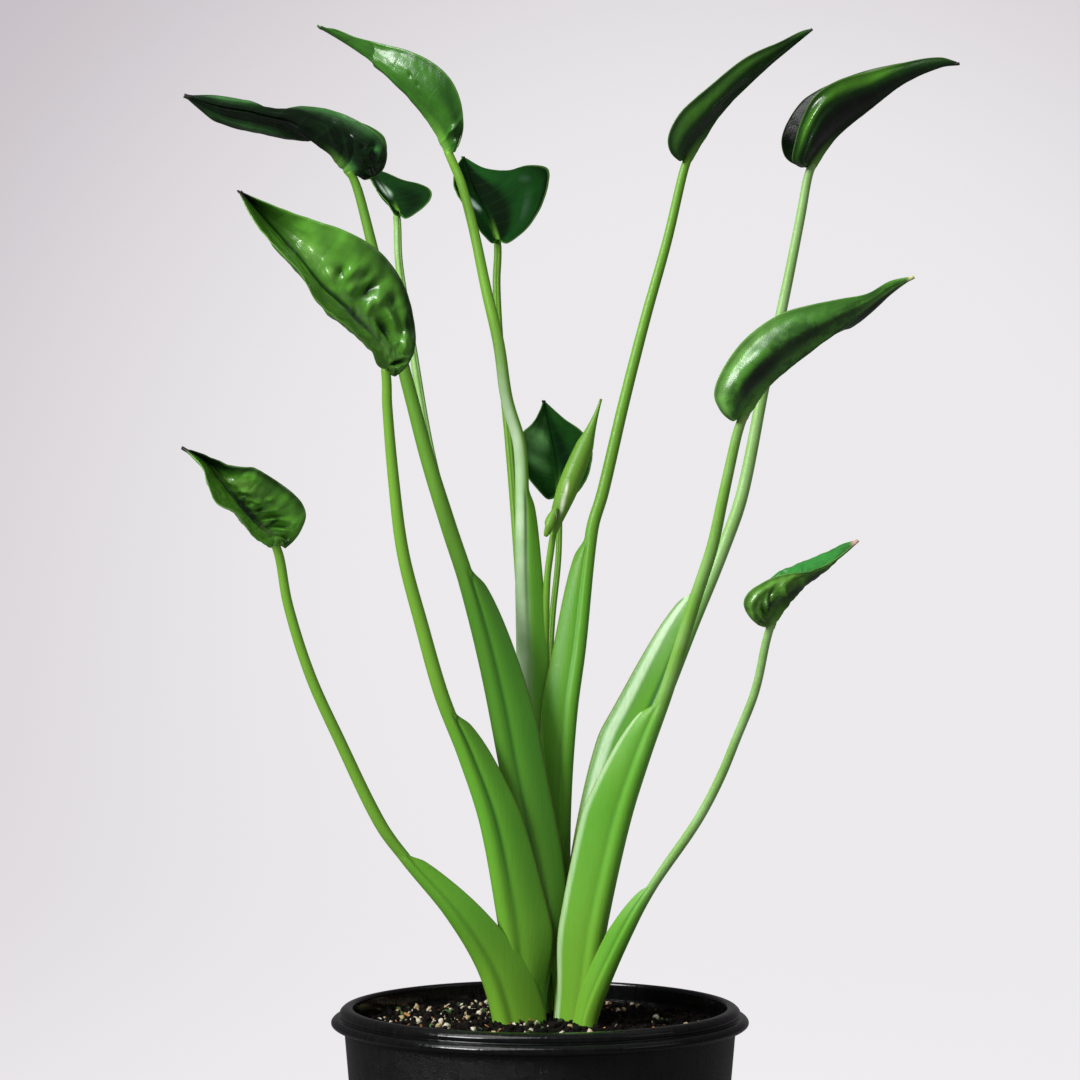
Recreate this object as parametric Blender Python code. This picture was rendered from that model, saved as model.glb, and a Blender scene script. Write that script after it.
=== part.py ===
"""Tiny dancer alocasia, a potted aroid with slipper-shaped leaves on tall sheathed stalks.

The plant stands in a round black plastic pot. Every leaf is two pieces, its stalk and its
blade. A stalk is a leaf stem that widens at its foot into a sheath with two thin wings. A
blade is folded along its midrib, with two round lobes at the stalk and a drawn-out tip.
The origin is the centre of the pot's base, +Z is up and the front looks along -Y. Sizes are
millimetres, and MM turns them into Blender's metres.
"""

import math
from dataclasses import dataclass

import bmesh
import bpy
from mathutils import Vector, noise

MM = 0.001
CLEARANCE = 0.3
CUT_OVERSHOOT = 2.0

# Pot, turned about Z
POT_HEIGHT = 140.0
POT_SIDES = 48
BASE_RADIUS = 64.0
WALL_TOP_RADIUS = 75.3
WALL_TOP = 131.6
BEAD_RADIUS = 80.3
BEAD_HEIGHT = 134.0
BEAD_TOP = 136.2
LIP_RADIUS = 77.0
MOUTH_RADIUS = 71.8
INNER_BEND = 126.0
INNER_BEND_RADIUS = 71.6
BASE_EDGE = 1.6
FLOOR_THICKNESS = 2.5
FLOOR_RADIUS = 61.6
DRAIN_HOLES = 6
DRAIN_RADIUS = 4.5
DRAIN_CIRCLE = 42.0
DRAIN_SIDES = 16

# Soil, with one plain hole that the stalks stand in
SOIL_AT_WALL = 132.0
SOIL_MOUND = 2.6
MOUND_INNER = 15.0
MOUND_OUTER = 65.0
SOIL_RELIEF = 0.9
CHIP_SIZE = 5.0
CRUMB_SIZE = 2.3
SOIL_SIDES = 44
WALL_GAP = 0.55
SOIL_RINGS = (0.0, 0.12, 0.26, 0.42, 0.6, 0.8, 1.0)
HOLE_CENTRE = (2.0, -2.5)
HOLE_REACH = (23.4, 22.4)
HOLE_POWER = 3.0
HOLE_FLOOR = 118.0

# Stalks
FOOT_DEPTH = HOLE_FLOOR + CLEARANCE
LOOP_SIZE = 16
WING_THICKNESS = 1.0
FAR_WING_SHARE = 0.25
SHEATH_GROWTH = 0.45
REACH_DEPTHS = (0.35, 0.7, 1.0)
SHEATH_BLEND = 0.09
SHEATH_STATIONS = (1.0, 0.86, 0.7, 0.5, 0.33, 0.2, 0.1, 0.035)
STEM_STATIONS = (0.0, 0.07, 0.2, 0.38, 0.56, 0.74, 0.9, 1.0)
NECK_LENGTH = 5.0

# Blades
BLADE_THICKNESS = 0.8
RIB_DEPTH = 3.6
RIB_TAPER = 5.0
TIP_RIB = 0.5
LOBE_RISE = 2.7
BLADE_BOW = 0.16
RIPPLE_WAVES = 2.2
NECK_SHARE = 0.33
JOINT_GAP = 0.45
NECK_MARGIN = 0.9
TIP_HALF_WIDTH = 0.65
START_SLACK = 0.95
NORMAL_SMOOTHING = 2
BLADE_ROWS = 14
BLADE_COLUMNS = (0.0, 0.14, 0.4, 0.7, 1.0)
MIDRIB_CROWDING = 1.6


@dataclass(frozen=True)
class Stalk:
    """A leaf stem's centre line from the soil to the blade, and the sheath at its foot."""

    path: tuple
    foot_radius: float
    stem_radius: float
    joint_radius: float
    shoulder: float  # height at which the sheath's wings end
    reach: tuple  # the near wing's width at three depths of the sheath
    spread: float  # half the sheath's width at the soil
    opens: float  # direction that the sheath opens to, in degrees from +X


@dataclass(frozen=True)
class Blade:
    """A blade's midrib from the stalk to the tip, and the edges of its two halves."""

    midrib: tuple
    near_margin: tuple  # from the lobe beside the stalk to just short of the tip
    far_margin: tuple
    ripple: float  # height of the margin's waves
    phase: float  # where the waves start, in turns


STALKS = {
    1: Stalk(
        path=((-11.6, -8.4, 118.0), (-13.9, -8.4, 134), (-20.5, -11.5, 155.7), (-33.0, -17, 177),
              (-50.2, -21, 198), (-60.5, -24, 212.1), (-75.7, -28, 244), (-86.4, -31, 268.3),
              (-94.6, -33, 295), (-99.0, -35, 317)),
        foot_radius=4.0, stem_radius=2.5, joint_radius=1.8,
        shoulder=200, reach=(12.5, 17.0, 17.0), spread=6.3, opens=0,
    ),
    2: Stalk(
        path=((-4.5, -7.0, 118.0), (-7.0, -7.0, 134), (-13.2, -10.2, 174), (-20.0, -14, 211.4),
              (-28.5, -17, 237.8), (-37.4, -21, 261), (-44.8, -24, 287.3), (-51.6, -27, 314.1),
              (-55.2, -29, 343.1), (-57.5, -31, 371.6), (-57.8, -32, 382)),
        foot_radius=3.4, stem_radius=3.0, joint_radius=1.9,
        shoulder=254, reach=(14.0, 17.9, 8.0), spread=4.4, opens=4,
    ),
    3: Stalk(
        path=((1.2, -5.4, 118.0), (-1.0, -5.4, 134), (-5.0, -6.0, 190), (-12.8, -6, 232.8),
              (-19.9, -5, 269.9), (-28.3, -4, 304), (-34.8, -3, 323.6), (-43.1, -2, 350.1),
              (-49.2, -1, 372.9), (-58.5, 0, 408), (-67.9, 2, 445.5), (-72.5, 2, 459.8)),
        foot_radius=2.8, stem_radius=3.4, joint_radius=1.8,
        shoulder=309, reach=(15.0, 15.0, 3.5), spread=3.0, opens=3,
    ),
    4: Stalk(
        path=((-3.5, 5.5, 118.0), (-3.5, 5.5, 134), (-5.5, 9, 200), (-6.5, 13, 274.3),
              (-7.0, 15, 306.9), (-7.6, 19, 354.2), (-12.9, 21, 373.8), (-16.1, 23, 395.8),
              (-21.2, 26, 418), (-26.0, 28, 440.9), (-31.1, 30, 460), (-35.5, 31, 470.5)),
        foot_radius=2.8, stem_radius=2.8, joint_radius=1.8,
        shoulder=341, reach=(10.5, 8.0, 4.5), spread=3.0, opens=0,
    ),
    5: Stalk(
        path=((-9.0, 12.0, 118.0), (-9.0, 12.0, 134), (-10.5, 17, 190), (-16.0, 26, 250),
              (-28.5, 38, 300), (-43.0, 52, 350), (-52.0, 62, 400), (-57.5, 70, 433),
              (-58.2, 75, 450.5)),
        foot_radius=2.3, stem_radius=2.2, joint_radius=1.6,
        shoulder=180, reach=(2.5, 2.5, 2.5), spread=2.4, opens=-60,
    ),
    6: Stalk(
        path=((-1.0, 14.0, 118.0), (-1.0, 14.0, 134), (-2.5, 19, 190), (-5.0, 28, 250),
              (-8.5, 38, 310), (-12.5, 48, 360), (-16.0, 55, 395), (-17.6, 61, 424),
              (-17.0, 65, 438.3)),
        foot_radius=2.3, stem_radius=2.1, joint_radius=1.6,
        shoulder=180, reach=(2.5, 2.5, 2.5), spread=2.4, opens=-85,
    ),
    7: Stalk(
        path=((5.0, 13.5, 118.0), (5.0, 13.5, 134), (4.0, 22, 190), (3.0, 32, 250),
              (4.8, 40, 287.3), (7.2, 45, 310), (7.8, 49, 327), (7.6, 50, 335)),
        foot_radius=1.9, stem_radius=1.6, joint_radius=1.2,
        shoulder=170, reach=(2.0, 2.0, 2.0), spread=1.9, opens=-90,
    ),
    8: Stalk(
        path=((3.0, 6.0, 118.0), (3.0, 6.0, 134), (2.0, 10.4, 200), (1.9, 14.2, 262),
              (2.7, 15.4, 303), (5.0, 15.0, 320.6)),
        foot_radius=1.7, stem_radius=1.6, joint_radius=1.4,
        shoulder=160, reach=(1.0, 1.0, 1.0), spread=1.7, opens=180,
    ),
    9: Stalk(
        path=((8.5, 5.5, 118.0), (8.5, 5.5, 134), (9.0, 7, 180), (9.6, 8, 218.7),
              (12.0, 9.4, 252.6), (15.3, 11.8, 277), (20.3, 16, 323.7), (24.2, 17, 336.6),
              (32.8, 20, 372.9), (41.5, 22, 406.7), (49.8, 24, 436.2), (57.7, 25, 468)),
        foot_radius=2.8, stem_radius=2.6, joint_radius=1.8,
        shoulder=321, reach=(12.0, 9.0, 3.5), spread=3.4, opens=180,
    ),
    10: Stalk(
        path=((9.8, -4.8, 118.0), (9.8, -4.8, 134), (12.6, -1.8, 150), (17.0, -0.5, 170), (25.0, 2, 200),
              (35.5, 6, 230), (47.3, 10, 256.5), (59.0, 13, 285.9), (71.8, 17, 316.7),
              (78.9, 19, 336.6), (88.0, 23, 380.5), (94.6, 25, 408.1), (102.6, 27, 447.1),
              (106.5, 28, 465.5)),
        foot_radius=2.8, stem_radius=2.8, joint_radius=1.8,
        shoulder=302, reach=(19.3, 11.0, 5.0), spread=3.4, opens=182,
    ),
    11: Stalk(
        path=((16.0, -5.5, 118.0), (16.5, -6.5, 134), (19.3, -9.2, 152), (22.8, -12, 174.3),
              (31.5, -16, 212.8),
              (39.0, -20, 237.2), (48.3, -24, 263.9), (58.7, -28, 297.5), (64.6, -31, 316),
              (68.3, -33, 333.3), (72.0, -34, 350.5), (75.8, -35, 364.5)),
        foot_radius=3.8, stem_radius=2.9, joint_radius=1.9,
        shoulder=258, reach=(16.6, 15.5, 11.0), spread=5.5, opens=176,
    ),
    12: Stalk(
        path=((17.0, -16.0, 118.0), (17.8, -16.5, 134.4), (24.0, -20, 152.3),
              (35.5, -26, 177), (43.0, -29, 190), (58.5, -33, 212.8), (67.1, -35, 229.1),
              (73.6, -38, 245.4), (80.2, -41, 262.7), (85.5, -45, 286.5)),
        foot_radius=3.8, stem_radius=2.0, joint_radius=1.6,
        shoulder=189, reach=(7.4, 7.6, 6.0), spread=3.8, opens=172,
    ),
}

BLADES = {
    1: Blade(
        midrib=((-104, -38, 322), (-115, -48, 335.5), (-125, -59, 348.5), (-131.5, -65, 353)),
        near_margin=((-100.5, -44, 316.5), (-106.5, -54, 322), (-111.5, -61, 328.5), (-119, -66, 334.5),
            (-123.5, -68, 345.5), (-128.5, -67, 351)),
        far_margin=((-95.5, -33, 316), (-91, -30, 320), (-88, -28, 327.5), (-89.5, -28, 333),
            (-96, -32, 339.5), (-105.5, -42, 344.5), (-116, -50, 346), (-125, -60, 350.5)),
        ripple=0.5, phase=0.1,
    ),
    2: Blade(
        midrib=((-60, -33, 390.5), (-66.5, -36, 398.5), (-78, -42, 410), (-92.5, -49, 427),
            (-111.5, -55, 448.5)),
        near_margin=((-60, -40, 384), (-63.5, -46, 390.5), (-72, -52, 398), (-79, -56, 404),
            (-85, -59, 411), (-92.5, -60, 422), (-103, -59, 433), (-108.5, -57, 442.5)),
        far_margin=((-54.5, -30, 380.5), (-50, -27, 384.5), (-47, -25, 390.5), (-47, -23, 402),
            (-50.5, -24, 414.5), (-59, -27, 425.5), (-73, -36, 434), (-89.5, -45, 439.5),
            (-102.5, -52, 444.5)),
        ripple=0.5, phase=0.4,
    ),
    3: Blade(
        midrib=((-80.5, -2, 468), (-87, -6, 472.5), (-97.5, -12, 478.5), (-108.5, -16, 481),
            (-121.5, -18, 483), (-135, -20, 487.5)),
        near_margin=((-67.5, -3, 458), (-61, -8, 461.5), (-59, -12, 468), (-61.5, -13, 473.5),
            (-70, -12, 480), (-80, -11, 484), (-91.5, -13, 485), (-101.5, -15, 483.5),
            (-111.5, -18, 486.5), (-123.5, -19, 488)),
        far_margin=((-65, 7, 459.5), (-60, 12, 467.5), (-60.5, 15, 475.5), (-66.5, 16, 480),
            (-74.5, 13, 481.5), (-82.5, 8, 476.5), (-89.5, 2, 473), (-106.5, -7, 474.5),
            (-118, -12, 476.5), (-127, -17, 481)),
        ripple=0.4, phase=0.7,
    ),
    4: Blade(
        midrib=((-39.5, 30, 478.5), (-48, 28, 490), (-60.5, 25, 502.5), (-73, 22, 512),
            (-87, 20, 520.5)),
        near_margin=((-32.5, 24, 473.5), (-30.5, 20, 478.5), (-30, 17, 483.5), (-31.5, 16, 491.5),
            (-36, 15, 500), (-43, 15, 506.5), (-51.5, 16, 511), (-60.5, 17, 513.5),
            (-72, 18, 516.5), (-80.5, 19, 520)),
        far_margin=((-33.5, 38, 475), (-31.5, 43, 481.5), (-31.5, 45, 488), (-33.5, 45, 496),
            (-38, 43, 503.5), (-45.5, 40, 509), (-56, 35, 512.5), (-65, 30, 515),
            (-75.5, 25, 517)),
        ripple=0.3, phase=0.2,
    ),
    5: Blade(
        midrib=((-60.5, 84, 457), (-65, 98, 465), (-72, 112, 474.5)),
        near_margin=((-59.5, 70, 452), (-62, 72, 456), (-65.5, 78, 460), (-68.5, 90, 465.5),
            (-71.5, 102, 470.5)),
        far_margin=((-54.5, 70, 449.5), (-49.5, 67, 452), (-45, 68, 456.5), (-44.5, 74, 461),
            (-49, 84, 464.5), (-58, 96, 468.5), (-65, 105, 472)),
        ripple=0.3, phase=0.5,
    ),
    6: Blade(
        midrib=((-21, 76, 451), (-27, 92, 464), (-32, 105, 478.5)),
        near_margin=((-19.5, 57, 438.5), (-24, 57, 443.5), (-30.5, 63, 454), (-35, 74, 463),
            (-34.5, 90, 472)),
        far_margin=((-13, 57, 438.5), (-5.5, 55, 444), (0.5, 57, 453), (3, 61, 461.5),
            (3, 68, 469.5), (-4, 78, 472), (-13, 90, 471), (-23, 98, 473)),
        ripple=0.3, phase=0.9,
    ),
    7: Blade(
        midrib=((7, 58, 348), (5, 68, 359.5), (1.5, 80, 376)),
        near_margin=((3, 43, 335.5), (-1.5, 41, 340), (-6.5, 43, 347), (-9, 49, 355),
            (-7.5, 58, 361.5), (-3, 66, 366), (0, 74, 371.5)),
        far_margin=((11.5, 43, 335.5), (16.5, 41, 340), (20, 45, 348), (20.5, 53, 356.5),
            (16, 64, 363.5), (9.5, 72, 368.5), (4, 78, 373.5)),
        ripple=0.3, phase=0.3,
    ),
    9: Blade(
        midrib=((64, 26, 477.5), (70.5, 27, 487), (88, 29, 504.5), (107, 30, 520.5)),
        near_margin=((54.5, 18, 467.5), (51, 13, 470.5), (50, 10, 475), (52, 8, 481), (56, 7, 487),
            (63, 8, 493.5), (71.5, 11, 500.5), (82.5, 16, 508.5), (95, 23, 515), (102.5, 28, 519)),
        far_margin=((56, 34, 470.5), (53.5, 40, 475.5), (53.5, 43, 481.5), (56.5, 44, 488),
            (62.5, 44, 495), (70.5, 42, 501), (80, 39, 507.5), (90, 36, 512.5), (99.5, 33, 517.5)),
        ripple=0.3, phase=0.6,
    ),
    10: Blade(
        midrib=((115.5, 26, 477.5), (129, 24, 488.5), (142.5, 22, 498.5), (156.5, 20, 504.5),
            (164, 20, 505.5)),
        near_margin=((102.5, 19, 465.5), (99, 13, 468), (99.5, 8, 474), (101.5, 6, 482),
            (107, 6, 491.5), (117, 9, 498), (129, 13, 502), (142.5, 16, 505.5),
            (156.5, 19, 507.5)),
        far_margin=((102, 38, 467.5), (97.5, 43, 471.5), (96.5, 46, 478.5), (100, 48, 487.5),
            (106, 48, 495.5), (117.5, 44, 501.5), (131.5, 36, 505), (144, 30, 507),
            (156.5, 23, 508)),
        ripple=0.3, phase=0.0,
    ),
    11: Blade(
        midrib=((84, -36, 376), (100, -38, 389.5), (109, -40, 396), (120, -42, 404.5),
            (130, -44, 412), (139, -45, 417)),
        near_margin=((72, -43, 363.5), (67.5, -49, 367), (65, -53, 373.5), (68, -55, 383),
            (76, -55, 393.5), (88.5, -53, 402), (100, -51, 406), (111, -49, 408.5),
            (121.5, -47, 410.5), (130, -46, 415)),
        far_margin=((73, -27, 365), (69.5, -21, 370), (70, -17, 378.5), (77, -14, 391.5),
            (88.5, -13, 400), (100.5, -17, 403.5), (110, -26, 399.5), (117, -33, 399),
            (123.5, -37, 403.5), (130.5, -41, 410.5)),
        ripple=0.4, phase=0.8,
    ),
    12: Blade(
        midrib=((87.5, -46, 290.5), (96.5, -45, 300.5), (104, -43, 306.5), (111, -42, 312.5),
            (118.5, -40, 319)),
        near_margin=((82, -52, 287.5), (78, -58, 290), (75.5, -62, 294.5), (76, -63, 298),
            (79.5, -62, 301.5), (85, -60, 304.5), (93, -57, 307), (99.5, -53, 307.5),
            (105.5, -48, 309), (111, -44, 312.5)),
        far_margin=((83.5, -38, 290), (82, -33, 294), (82.5, -30, 299.5), (86.5, -28, 304),
            (91.5, -27, 307.5), (98.5, -28, 310.5), (106, -31, 314), (112.5, -35, 317)),
        ripple=0.3, phase=0.35,
    ),
}

# The youngest leaf, still rolled up
ROLLED_LEAF = 8
ROLLED_AXIS = ((5.1, 15.0, 321.0), (8.5, 14.8, 338.0), (17.0, 15.0, 352.0), (23.8, 16.0, 374.0))
ROLLED_FOOT_RADIUS = 1.3
ROLLED_RADIUS = 4.6
ROLLED_TIP_RADIUS = 0.5
ROLLED_BELLY = 0.42
ROLLED_POINT = 0.7
ROLLED_STEP = 0.14
ROLLED_SIDES = 14
ROLLED_RINGS = 12
ROLLED_TWIST = 0.35

# Colours, as linear red, green, blue
POT_COLOUR = (0.014, 0.014, 0.015)
SOIL_COLOUR = (0.03, 0.022, 0.016)
STEM_COLOUR = (0.17, 0.45, 0.05)
WAXY_STEM_COLOUR = (0.26, 0.52, 0.18)
BLADE_COLOUR = (0.03, 0.14, 0.02)
YOUNG_BLADE_COLOUR = (0.2, 0.45, 0.06)
WAXY_STALKS = (4, 9)


def clear_scene():
    for obj in list(bpy.data.objects):
        bpy.data.objects.remove(obj, do_unlink=True)


def material(name, colour, roughness):
    made = bpy.data.materials.new(name)
    made.use_nodes = True
    shader = made.node_tree.nodes["Principled BSDF"]
    shader.inputs["Base Color"].default_value = (*colour, 1.0)
    shader.inputs["Roughness"].default_value = roughness
    shader.inputs["Metallic"].default_value = 0.0
    made.diffuse_color = (*colour, 1.0)
    return made


def add_object(name, points, faces, skin, flat_angle=40.0):
    """One closed mesh from points in millimetres."""
    mesh = bpy.data.meshes.new(name)
    mesh.from_pydata([tuple(MM * value for value in point) for point in points], [], faces)
    mesh.update()
    mesh.shade_smooth()
    mesh.set_sharp_from_angle(angle=math.radians(flat_angle))
    mesh.materials.append(skin)
    obj = bpy.data.objects.new(name, mesh)
    bpy.context.collection.objects.link(obj)
    return obj


def mix(first, second, share):
    return first + (second - first) * share


def smooth_step(value):
    value = min(max(value, 0.0), 1.0)
    return value * value * (3.0 - 2.0 * value)


def curve_through(points):
    """A smooth curve through the points: a function of 0 to 1 along the chords."""
    points = [Vector(point) for point in points]
    knots = [0.0]
    for first, second in zip(points, points[1:]):
        knots.append(knots[-1] + (second - first).length)
    slopes = []
    for index in range(len(points)):
        before = max(index - 1, 0)
        after = min(index + 1, len(points) - 1)
        slopes.append((points[after] - points[before]) / (knots[after] - knots[before]))

    def position(share):
        place = min(max(share, 0.0), 1.0) * knots[-1]
        index = 0
        while index < len(points) - 2 and place > knots[index + 1]:
            index += 1
        span = knots[index + 1] - knots[index]
        step = (place - knots[index]) / span
        square = step * step
        cube = square * step
        return (
            points[index] * (2 * cube - 3 * square + 1)
            + slopes[index] * (span * (cube - 2 * square + step))
            + points[index + 1] * (3 * square - 2 * cube)
            + slopes[index + 1] * (span * (cube - square))
        )

    return position


def share_at_height(position, height):
    """Where on a rising curve its height is reached."""
    low, high = 0.0, 1.0
    for _ in range(40):
        middle = (low + high) / 2
        if position(middle).z < height:
            low = middle
        else:
            high = middle
    return (low + high) / 2


def tangent_at(position, share, step=0.004):
    after = position(min(share + step, 1.0))
    return (after - position(max(share - step, 0.0))).normalized()


def bezier(handles, share):
    rest = 1.0 - share
    first, second, third, last = handles
    return (
        first * rest**3
        + second * (3 * rest**2 * share)
        + third * (3 * rest * share**2)
        + last * share**3
    )


def turned_profile(profile, sides):
    """A closed body from an outline of (radius, height), both ends on the axis."""
    points = []
    rings = []
    for radius, height in profile:
        if radius == 0.0:
            rings.append([len(points)] * sides)
            points.append((0.0, 0.0, height))
            continue
        rings.append(list(range(len(points), len(points) + sides)))
        for side in range(sides):
            angle = math.tau * side / sides
            points.append((radius * math.cos(angle), radius * math.sin(angle), height))
    faces = []
    for lower, upper in zip(rings, rings[1:]):
        for side in range(sides):
            after = (side + 1) % sides
            corners = (lower[side], lower[after], upper[after], upper[side])
            faces.append(tuple(dict.fromkeys(corners)))
    return points, faces


def pot_profile():
    """The pot from the middle of its base, up outside, over the lip and down inside."""
    return (
        (0.0, 0.0),
        (BASE_RADIUS - BASE_EDGE, 0.0),
        (BASE_RADIUS, BASE_EDGE),
        (WALL_TOP_RADIUS, WALL_TOP),
        (BEAD_RADIUS - 1.4, WALL_TOP + 0.5),
        (BEAD_RADIUS, BEAD_HEIGHT - 0.8),
        (BEAD_RADIUS, BEAD_HEIGHT + 0.5),
        (BEAD_RADIUS - 1.3, BEAD_TOP - 0.4),
        (LIP_RADIUS - 0.3, BEAD_TOP),
        (LIP_RADIUS, BEAD_TOP + 0.8),
        (LIP_RADIUS, POT_HEIGHT - 1.8),
        (LIP_RADIUS - 1.5, POT_HEIGHT - 0.4),
        (LIP_RADIUS - 3.4, POT_HEIGHT),
        (MOUTH_RADIUS + 0.5, POT_HEIGHT - 0.2),
        (MOUTH_RADIUS, POT_HEIGHT - 0.9),
        (INNER_BEND_RADIUS, INNER_BEND),
        (FLOOR_RADIUS, FLOOR_THICKNESS),
        (0.0, FLOOR_THICKNESS),
    )


def drain_cutter():
    """The drain holes' cylinders, longer than the floor is thick."""
    points = []
    faces = []
    sides = DRAIN_SIDES
    for hole in range(DRAIN_HOLES):
        turn = math.tau * hole / DRAIN_HOLES
        centre = (DRAIN_CIRCLE * math.cos(turn), DRAIN_CIRCLE * math.sin(turn))
        start = len(points)
        for height in (-CUT_OVERSHOOT, FLOOR_THICKNESS + CUT_OVERSHOOT):
            for side in range(sides):
                angle = math.tau * side / sides
                x = centre[0] + DRAIN_RADIUS * math.cos(angle)
                y = centre[1] + DRAIN_RADIUS * math.sin(angle)
                points.append((x, y, height))
        lower = list(range(start, start + sides))
        upper = list(range(start + sides, start + 2 * sides))
        faces.append(tuple(reversed(lower)))
        faces.append(tuple(upper))
        for side in range(sides):
            after = (side + 1) % sides
            faces.append((lower[side], lower[after], upper[after], upper[side]))
    return points, faces


def add_pot():
    skin = material("pot_plastic", POT_COLOUR, 0.42)
    pot = add_object("pot", *turned_profile(pot_profile(), POT_SIDES), skin)
    cutter = add_object("drain_cutter", *drain_cutter(), skin)
    cutter.hide_render = True
    cutter.display_type = "WIRE"
    cut = pot.modifiers.new("drain_holes", "BOOLEAN")
    cut.operation = "DIFFERENCE"
    cut.object = cutter


def hole_edge(angle):
    """A point of the soil's hole, a rounded oval."""
    across, deep = math.cos(angle), math.sin(angle)
    scale = (abs(across) ** HOLE_POWER + abs(deep) ** HOLE_POWER) ** (-1.0 / HOLE_POWER)
    x = HOLE_CENTRE[0] + HOLE_REACH[0] * across * scale
    y = HOLE_CENTRE[1] + HOLE_REACH[1] * deep * scale
    return Vector((x, y))


def inner_wall_radius(height):
    share = (height - FLOOR_THICKNESS) / (INNER_BEND - FLOOR_THICKNESS)
    return mix(FLOOR_RADIUS, INNER_BEND_RADIUS, min(share, 1.0))


def soil_height(x, y):
    """A low mound round the plant with crumbs and chips raised from it."""
    radius = math.hypot(x, y)
    mound = SOIL_MOUND * (1.0 - smooth_step((radius - MOUND_INNER) / (MOUND_OUTER - MOUND_INNER)))
    chips = noise.noise(Vector((x / CHIP_SIZE, y / CHIP_SIZE, 3.7)))
    crumbs = noise.noise(Vector((x / CRUMB_SIZE, y / CRUMB_SIZE, 9.1)))
    return SOIL_AT_WALL + mound + SOIL_RELIEF * (chips + 0.6 * crumbs)


def soil_rings():
    """Rings of points from the hole's floor over the surface and down the pot's wall."""
    angles = [math.tau * side / SOIL_SIDES for side in range(SOIL_SIDES)]
    edges = [hole_edge(angle) for angle in angles]
    centre = Vector(HOLE_CENTRE)
    wall_radius = inner_wall_radius(SOIL_AT_WALL) - WALL_GAP
    outers = []
    for edge in edges:
        # The outer ring keeps the hole's bearings, so no face crosses another
        direction = (edge - centre).normalized()
        along = centre.dot(direction)
        out = math.sqrt(along**2 + wall_radius**2 - centre.length_squared) - along
        outers.append(centre + direction * out)
    rings = [[(edge.x, edge.y, HOLE_FLOOR) for edge in edges]]
    for share in SOIL_RINGS:
        places = [edge.lerp(outer, share) for edge, outer in zip(edges, outers)]
        rings.append([(place.x, place.y, soil_height(place.x, place.y)) for place in places])
    for height in (INNER_BEND, FLOOR_THICKNESS + CLEARANCE):
        radius = inner_wall_radius(height) - WALL_GAP
        bearings = [outer.normalized() for outer in outers]
        rings.append([(radius * bearing.x, radius * bearing.y, height) for bearing in bearings])
    return rings


def add_soil():
    sides = SOIL_SIDES
    rings = soil_rings()
    points = [point for ring in rings for point in ring]
    faces = []
    for ring in range(len(rings) - 1):
        for side in range(sides):
            after = (side + 1) % sides
            inner, outer = ring * sides, (ring + 1) * sides
            faces.append((inner + side, outer + side, outer + after))
            faces.append((inner + side, outer + after, inner + after))
    hole_middle = len(points)
    points.append((*HOLE_CENTRE, HOLE_FLOOR))
    base_middle = len(points)
    points.append((0.0, 0.0, FLOOR_THICKNESS + CLEARANCE))
    last = (len(rings) - 1) * sides
    for side in range(sides):
        after = (side + 1) % sides
        faces.append((hole_middle, side, after))
        faces.append((base_middle, last + after, last + side))
    add_object("soil", points, faces, material("soil", SOIL_COLOUR, 0.9))


def stem_loop(radius):
    """A round stem's section, back first, as (toward the opening, to the near side)."""
    near = [(40, 1.0), (80, 1.0), (115, 1.0), (140, 0.99), (150, 0.98), (160, 0.95), (170, 0.9)]
    loop = [(-radius, 0.0)]
    for degrees, share in near:
        angle = math.radians(degrees)
        loop.append((-radius * share * math.cos(angle), radius * share * math.sin(angle)))
    loop.append((radius * 0.86, 0.0))
    loop.extend((along, -side) for along, side in reversed(loop[1:-1]))
    return loop


def sheath_loop(radius, spread, reach):
    """A sheath's section: a thick back and two thin wings, the far one shorter."""
    wing = min(WING_THICKNESS, 0.4 * spread)
    half = [
        (-0.72 * radius, 0.72 * spread),
        (0.0, spread),
        (0.5 * reach, 0.97 * spread),
        (reach, 0.86 * spread),
        (reach, 0.86 * spread - 0.8 * wing),
        (0.5 * reach, 0.97 * spread - 1.2 * wing),
        (0.3 * radius, spread - 1.7 * wing),
    ]
    loop = [(-radius, 0.0), *half, (0.5 * radius, 0.0)]
    for along, side in reversed(half):
        shorter = along * FAR_WING_SHARE if along > 0.3 * radius else along
        loop.append((shorter, -side))
    return loop


def wing_reach(stalk, depth):
    """The near wing's width: it grows fast below the shoulder and narrows in the crown."""
    first, second, last = REACH_DEPTHS
    if depth < first:
        return stalk.reach[0] * (depth / first) ** SHEATH_GROWTH
    if depth < second:
        return mix(stalk.reach[0], stalk.reach[1], (depth - first) / (second - first))
    return mix(stalk.reach[1], stalk.reach[2], smooth_step((depth - second) / (last - second)))


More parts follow.
